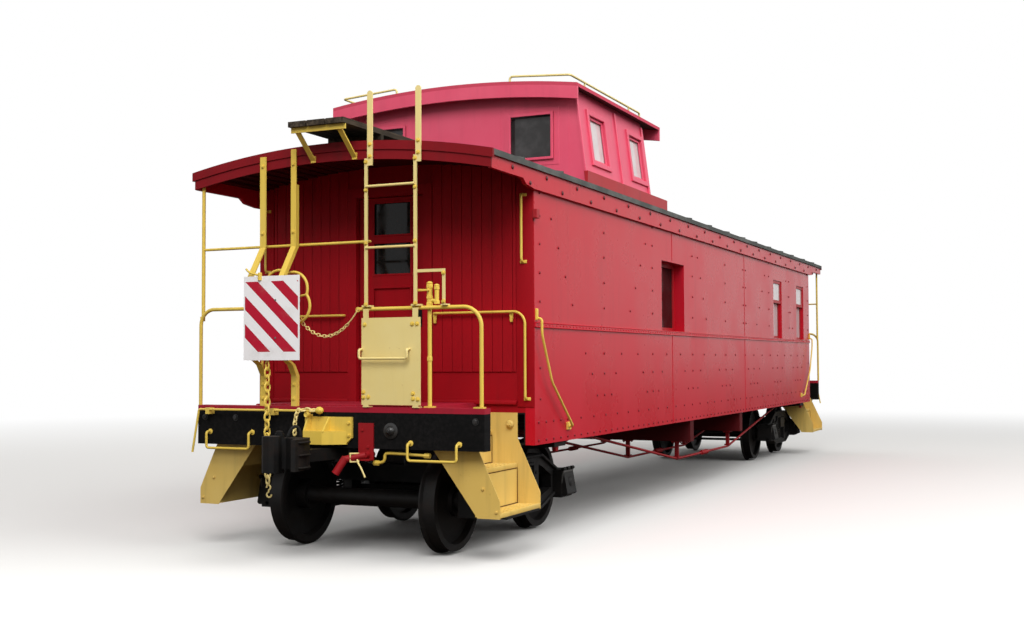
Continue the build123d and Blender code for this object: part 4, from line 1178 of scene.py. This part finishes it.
# %% Tread cleats
cleat_x, cleat_pitch, cleat_count, margin = -6.62, 0.078, 9, 0.045
moves = []
for side in (-1, 1):
    # Columns: height of a tread, y of its back and of its front
    for z, y0, y1 in ((0.425, 1.262, 1.478), (0.76, 1.022, 1.27)):
        for y in (y0 + margin, (y0 + y1) / 2, y1 - margin):
            spots = [(cleat_x + k * cleat_pitch, side * y, z) for k in range(cleat_count)]
            moves += [shift(*spot) @ turn(-90, "X") for spot in spots]
both_ends("tread_cleats", [copies(domed_head(0.012, 0.006, 6), moves)], step_yellow)

# %% [markdown]
# ## Irons' feet and small brackets
# The upright grab irons end in flat lugs, and short hangers hold the wall
# rail. A small bracket for a marker lamp stands at one corner of each end.

# %% Lugs on the end walls
lugs = []
for out, z in ((1.335, 3.075), (1.335, 2.495), (1.366, 1.315)):
    for y in (-out, out):
        lug = add_box((-5.925, y - 0.034, z - 0.015), (-5.904, y + 0.03, z + 0.013))
        lugs.append(soften(shape_faces(lug, "-x", 0.005, 0.003), 0.003, 1))
for y in (-1.228, -0.48):
    hanger = add_box((-5.945, y - 0.02, 1.975), (-5.93, y + 0.02, 2.075))
    shape_faces(hanger, "-z", resize=(1, 0.6, 1), about=(-5.937, y, 1.975))
    lugs.append(soften(hanger, 0.004, 1))
both_ends("iron_lugs", lugs, rail_yellow)

# %% Lugs on the sides, and the marker's bracket
lug = add_box((-5.888, -1.45, 1.99), (-5.862, -1.43, 2.09))
foot_lug = add_box((-5.2, -1.45, 1.015), (-5.12, -1.43, 1.085))
shape_faces(lug, "-y", 0.006, 0.003)
right_lugs = join([soften(lug, 0.003, 1), soften(foot_lug, 0.003, 1)])
left_lugs = mirrored_copy(right_lugs)
both_ends("side_lugs", [right_lugs], rail_yellow)
both_ends("side_lugs_left", [left_lugs], rail_yellow)
marker = add_box((-5.94, -1.475, 2.865), (-5.88, -1.432, 2.945))
marker = soften(shape_faces(marker, "+z", 0.008, -0.03), 0.003, 1)
both_ends("marker", [marker], trim_red)

# %% [markdown]
# ## Trucks
# The coil springs are wound along a helix and replace the plain solid ones.
# The cast side frames get the raised rims that make their section an I, and
# the journal boxes get hinged lids.

# %% Springs
truck_x, axle_x, journal_y = 5.305, 0.8635, 0.978
spring_z0, spring_z1, spring_radius, wire, turns = 0.327, 0.493, 0.042, 0.011, 4.5
for end, middle in (("a", -truck_x), ("b", truck_x)):
    springs = []
    for x in (middle - 0.07, middle + 0.07):
        for y in (-journal_y, journal_y):
            springs.append(coil((x, y), spring_z0, spring_z1, spring_radius, wire, turns))
            for z0, z1 in ((0.315, 0.33), (0.49, 0.505)):
                seat = add_rod((x, y, z0), (x, y, z1), 0.058, 20)
                springs.append(soften(seat, 0.004, 1))
    group = place("coil_springs_" + end, springs, spring_steel, "truck_" + end)
    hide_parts("truck_" + end + "_springs")

# %% Side frame rims
frame_face = -1.028


def strap(p, q):
    """A raised strip on a side frame from p to q, each (x, z)."""
    run, lift = q[0] - p[0], q[1] - p[1]
    strip = add_box((-0.004, -0.03, -0.014), (math.hypot(run, lift) + 0.004, 0.002, 0.014))
    slope = turn(-math.degrees(math.atan2(lift, run)), "Y")
    return soften(moved(strip, shift(p[0], frame_face, p[1]) @ slope), 0.006, 1)


# Each line is a row of corners (x, z): the frame's top, its foot and its window
rim_lines = [
    [(-0.97, 0.578), (-0.80, 0.592), (-0.43, 0.755), (0.43, 0.755), (0.80, 0.592), (0.97, 0.578)],
    [(-0.73, 0.37), (-0.37, 0.253), (0.37, 0.253), (0.73, 0.37)],
    [(-0.24, 0.31), (-0.24, 0.685), (0.24, 0.685), (0.24, 0.31)],
]
details = [strap(p, q) for line in rim_lines for p, q in zip(line, line[1:])]
spots = [(x, frame_face, z) for x in (-0.31, 0.31) for z in (0.36, 0.48, 0.6)]
details.append(bolts(0.017, 0.02, (0, -1, 0), spots))
print(len(details) - 1, "raised strips on a side frame")

# %% Journal box lids
hinge_y, hinge_z = -1.135, 0.598
rims = []
for out in (-1, 1):
    middle = out * axle_x
    for x in (middle - 0.105, middle, middle + 0.105):
        low, high = (x - 0.028, hinge_y, hinge_z), (x + 0.028, hinge_y, hinge_z)
        hinge = shape_faces(add_rod(low, high, 0.017, 10), "x", 0.004)
        details.append(smooth(hinge, 40))
    details.append(add_ball((middle, -1.15, 0.46), 0.05, (1, 0.45, 1.1)))
    # The rims' pale grey is a painted highlight on their edges.
    low, high = (middle - 0.122, -0.012, -0.218), (middle + 0.122, 0.004, -0.01)
    rim = ring(low, high, 0.014, 0.002)
    rims.append(moved(rim, shift(0, -1.134, 0.59) @ turn(11, "X")))
    spots = [(x, -1.06, z) for x in (middle - 0.11, middle + 0.11) for z in (0.36, 0.55)]
    spots = [(middle + out * 0.13, y, z) for x, y, z in spots]
    details.append(bolts(0.012, 0.012, (out, 0, 0), spots))
for name, pieces, coat in (("frame_details", details, truck_black), ("lid_rims", rims, pale_iron)):
    frame_a = moved(join(pieces), shift(-truck_x, 0, 0))
    both_ends(name, [frame_a, mirrored_copy(frame_a)], coat, "truck_a")

# %% [markdown]
# ## Under the floor
# The truss rods end in turnbuckle nuts at mid car. The brake's main pipe runs
# the length of the car, and small rods join the cylinder to both trucks.

# %% Turnbuckle nuts
rod_ys, rod_z, post_foot = (-1.225, -0.6, 0.6, 1.225), 0.45, 0.649
under, spots = [], []
for y in rod_ys:
    for out in (-1, 1):
        nut = add_rod((out * 0.095, y, rod_z), (out * 0.135, y, rod_z), 0.03, 6)
        under.append(shape_faces(nut, "x", 0.006))
    body = add_box((-0.06, y - 0.033, rod_z - 0.014), (0.06, y + 0.033, rod_z + 0.014))
    under.append(soften(body, 0.008, 1))
    for x in (-1.225, -1.135, 1.135, 1.225):
        spots += [(x, y - 0.035, post_foot), (x, y + 0.035, post_foot)]
under.append(bolts(0.01, 0.012, (0, 0, -1), spots))
place("rod_nuts", under, rod_red)

# %% Brake lines
main_y, main_z = -0.3, 1.0
pipe_run = [(x, main_y, main_z) for x in (-6.6, -3.0, 3.0, 6.6)]
rod_start = (0.5, 0.48, 0.815)
branch = [(0.2, main_y, main_z), (0.2, 0.0, 1.0), (0.2, 0.3, 0.95), (0.2, 0.42, 0.86)]
lines = [
    tube(pipe_run, 0.02, 2, 2),
    tube([rod_start, (1.6, 0.42, 0.84), (3.4, 0.25, 0.86)], 0.014, 2, 2),
    tube([rod_start, (-1.6, 0.3, 0.84), (-3.4, 0.25, 0.86)], 0.012, 2, 2),
    tube(branch, 0.014),
]
for x in (-4.2, -2.0, 2.0, 4.2):
    clamp = add_box((x - 0.02, -0.335, 0.97), (x + 0.02, -0.165, 1.195))
    lines.append(soften(shape_faces(clamp, "-z", slide=(0, -0.03, 0)), 0.004, 1))
place("brake_lines", lines, dark_iron)

# %% Rod anchors
anchors = []
for x in (-5.34, 5.34):
    anchor = add_box((x - 0.06, -1.4, 0.83), (x + 0.06, -1.36, 0.955))
    shape_faces(anchor, "-z", resize=(0.45, 1, 1), about=(x, -1.38, 0.83))
    anchors.append(soften(anchor, 0.006))
both_sides("sill_anchors", anchors, rod_red)

# %% [markdown]
# ## The coupler's small parts
# The knuckle turns on a pin, and a row of ribs stiffens the head's side.

# %% Coupler details
coupler_pin_x, coupler_swing = -6.338, -7
pin = add_rod((-7.298, 0.108, 1.05), (-7.298, 0.108, 1.075), 0.03, 14)
coupler = [smooth(shape_faces(pin, "+z", 0.008, 0.008), 40)]
for z in (0.8, 0.9, 1.0):
    rib = add_box((-7.42, -0.205, z - 0.009), (-7.19, -0.12, z + 0.009))
    shape_faces(rib, "-y", resize=(0.55, 1, 0.7), about=(-7.38, -0.2, z))
    coupler.append(soften(rib, 0.004, 1))
coupler.append(tube([
    (-7.14, 0.02, 1.03), (-7.14, 0.03, 1.09), (-7.16, 0.06, 1.12), (-7.2, 0.08, 1.09),
    (-7.22, 0.09, 1.03),
], 0.013))
swing = shift(coupler_pin_x, 0, 0) @ turn(coupler_swing, "Z") @ shift(-coupler_pin_x, 0, 0)
both_ends("coupler_details", [moved(join(coupler), swing)], dark_iron)

# %% Cock lever and step pipe
cock_line = [(-6.94, -0.3, 0.84), (-6.95, -0.31, 0.82), (-6.96, -0.36, 0.76), (-6.965, -0.39, 0.7)]
collar = ring((-0.04, -0.02, -0.04), (0.04, 0.02, 0.04), 0.012, 0.004)
collar = moved(collar, shift(-6.93, -0.265, 0.855) @ turn(-50, "Z"))
both_ends("cock_lever", [tube(cock_line, 0.008), collar], rail_cream)
bent_x = -6.8
# Columns: y and z of the pipe's bends, and of its two end nuts
bends = (
    (-0.4, 0.805), (-0.45, 0.81), (-0.478, 0.83), (-0.48, 0.885), (-0.52, 0.89), (-0.7, 0.885),
    (-0.87, 0.877),
)
nuts = (((-0.375, 0.805), (-0.42, 0.806)), ((-0.85, 0.878), (-0.9, 0.876)))
step_pipe = [tube([(bent_x, y, z) for y, z in bends], 0.013)]
for start, end in nuts:
    nut = add_rod((bent_x, *start), (bent_x, *end), 0.022, 8)
    step_pipe.append(shape_faces(nut, "y", 0.005))
both_ends("step_pipe", step_pipe, rail_yellow)

# %% [markdown]
# ## Floor, light and sky
# A grey day gives wide soft light from above and almost no shadow edge. A
# large lamp over the seen side, a weaker one from the end and a dim pale sky
# give the same. The floor turns white with distance, and the sky is white
# only to the camera, in reflections and through glass.

# %% Floor
clear_selection()
bpy.ops.mesh.primitive_plane_add(size=240)
floor = settle()
floor.name = "studio_floor"
ground, tree, shader = new_material("studio floor")
by_eye = add_node(tree, "LightPath").outputs["Is Camera Ray"]
feed(shader, {
    "Base Color": mix(by_eye, (0.09, 0.07, 0.06), (0.8, 0.79, 0.77)),
    "Roughness": 0.9,
    "Specular IOR Level": 0.1,
})
spot = add_node(tree, "TexCoord").outputs["Object"]
length = follow("VectorMath", {0: spot}, operation="LENGTH")["Value"]
far = ramp(length, 8.0, 26.0)
glow = add_node(tree, "Emission", {"Color": (1, 1, 1), "Strength": 1.0})
sources = {0: times(far, by_eye), 1: shader.outputs[0], 2: glow.outputs[0]}
feed(tree.nodes["Material Output"], {"Surface": follow("MixShader", sources)[0]})
floor.data.materials.append(ground)
print("floor ready")

# %% Sky
world = bpy.data.worlds.new("grey sky")
bpy.context.scene.world = world
world.use_nodes = True
tree = world.node_tree
sky_light, sky_seen = 0.5, 1.0
path = add_node(tree, "LightPath").outputs
seen = maths("MAXIMUM", path["Is Camera Ray"], path["Is Glossy Ray"])
seen = maths("MAXIMUM", seen, path["Is Transmission Ray"])
strength = plus(sky_light, times(seen, sky_seen - sky_light))
feed(tree.nodes["Background"], {"Color": (1.0, 1.0, 1.0), "Strength": strength})
print("sky ready")

# %% Lamps
# Columns: name, place, point it faces, size, watts
for name, spot, target, size, watts in (
    ("side lamp", (-4, -16, 15), (0, 0, 2), 16, 3200),
    ("end lamp", (-17, -5, 12), (-6, 0, 1.8), 8, 1900),
    ("far lamp", (8, 16, 14), (0, 0, 2), 14, 900),
):
    lamp = add_object(name, bpy.data.lights.new(name, "AREA"))
    lamp.data.size, lamp.data.energy = size, watts
    lamp.location = spot
    lamp.rotation_euler = (Vector(target) - Vector(spot)).to_track_quat("-Z", "Y").to_euler()
bpy.context.scene.view_settings.view_transform = "Standard"
print("stage ready")
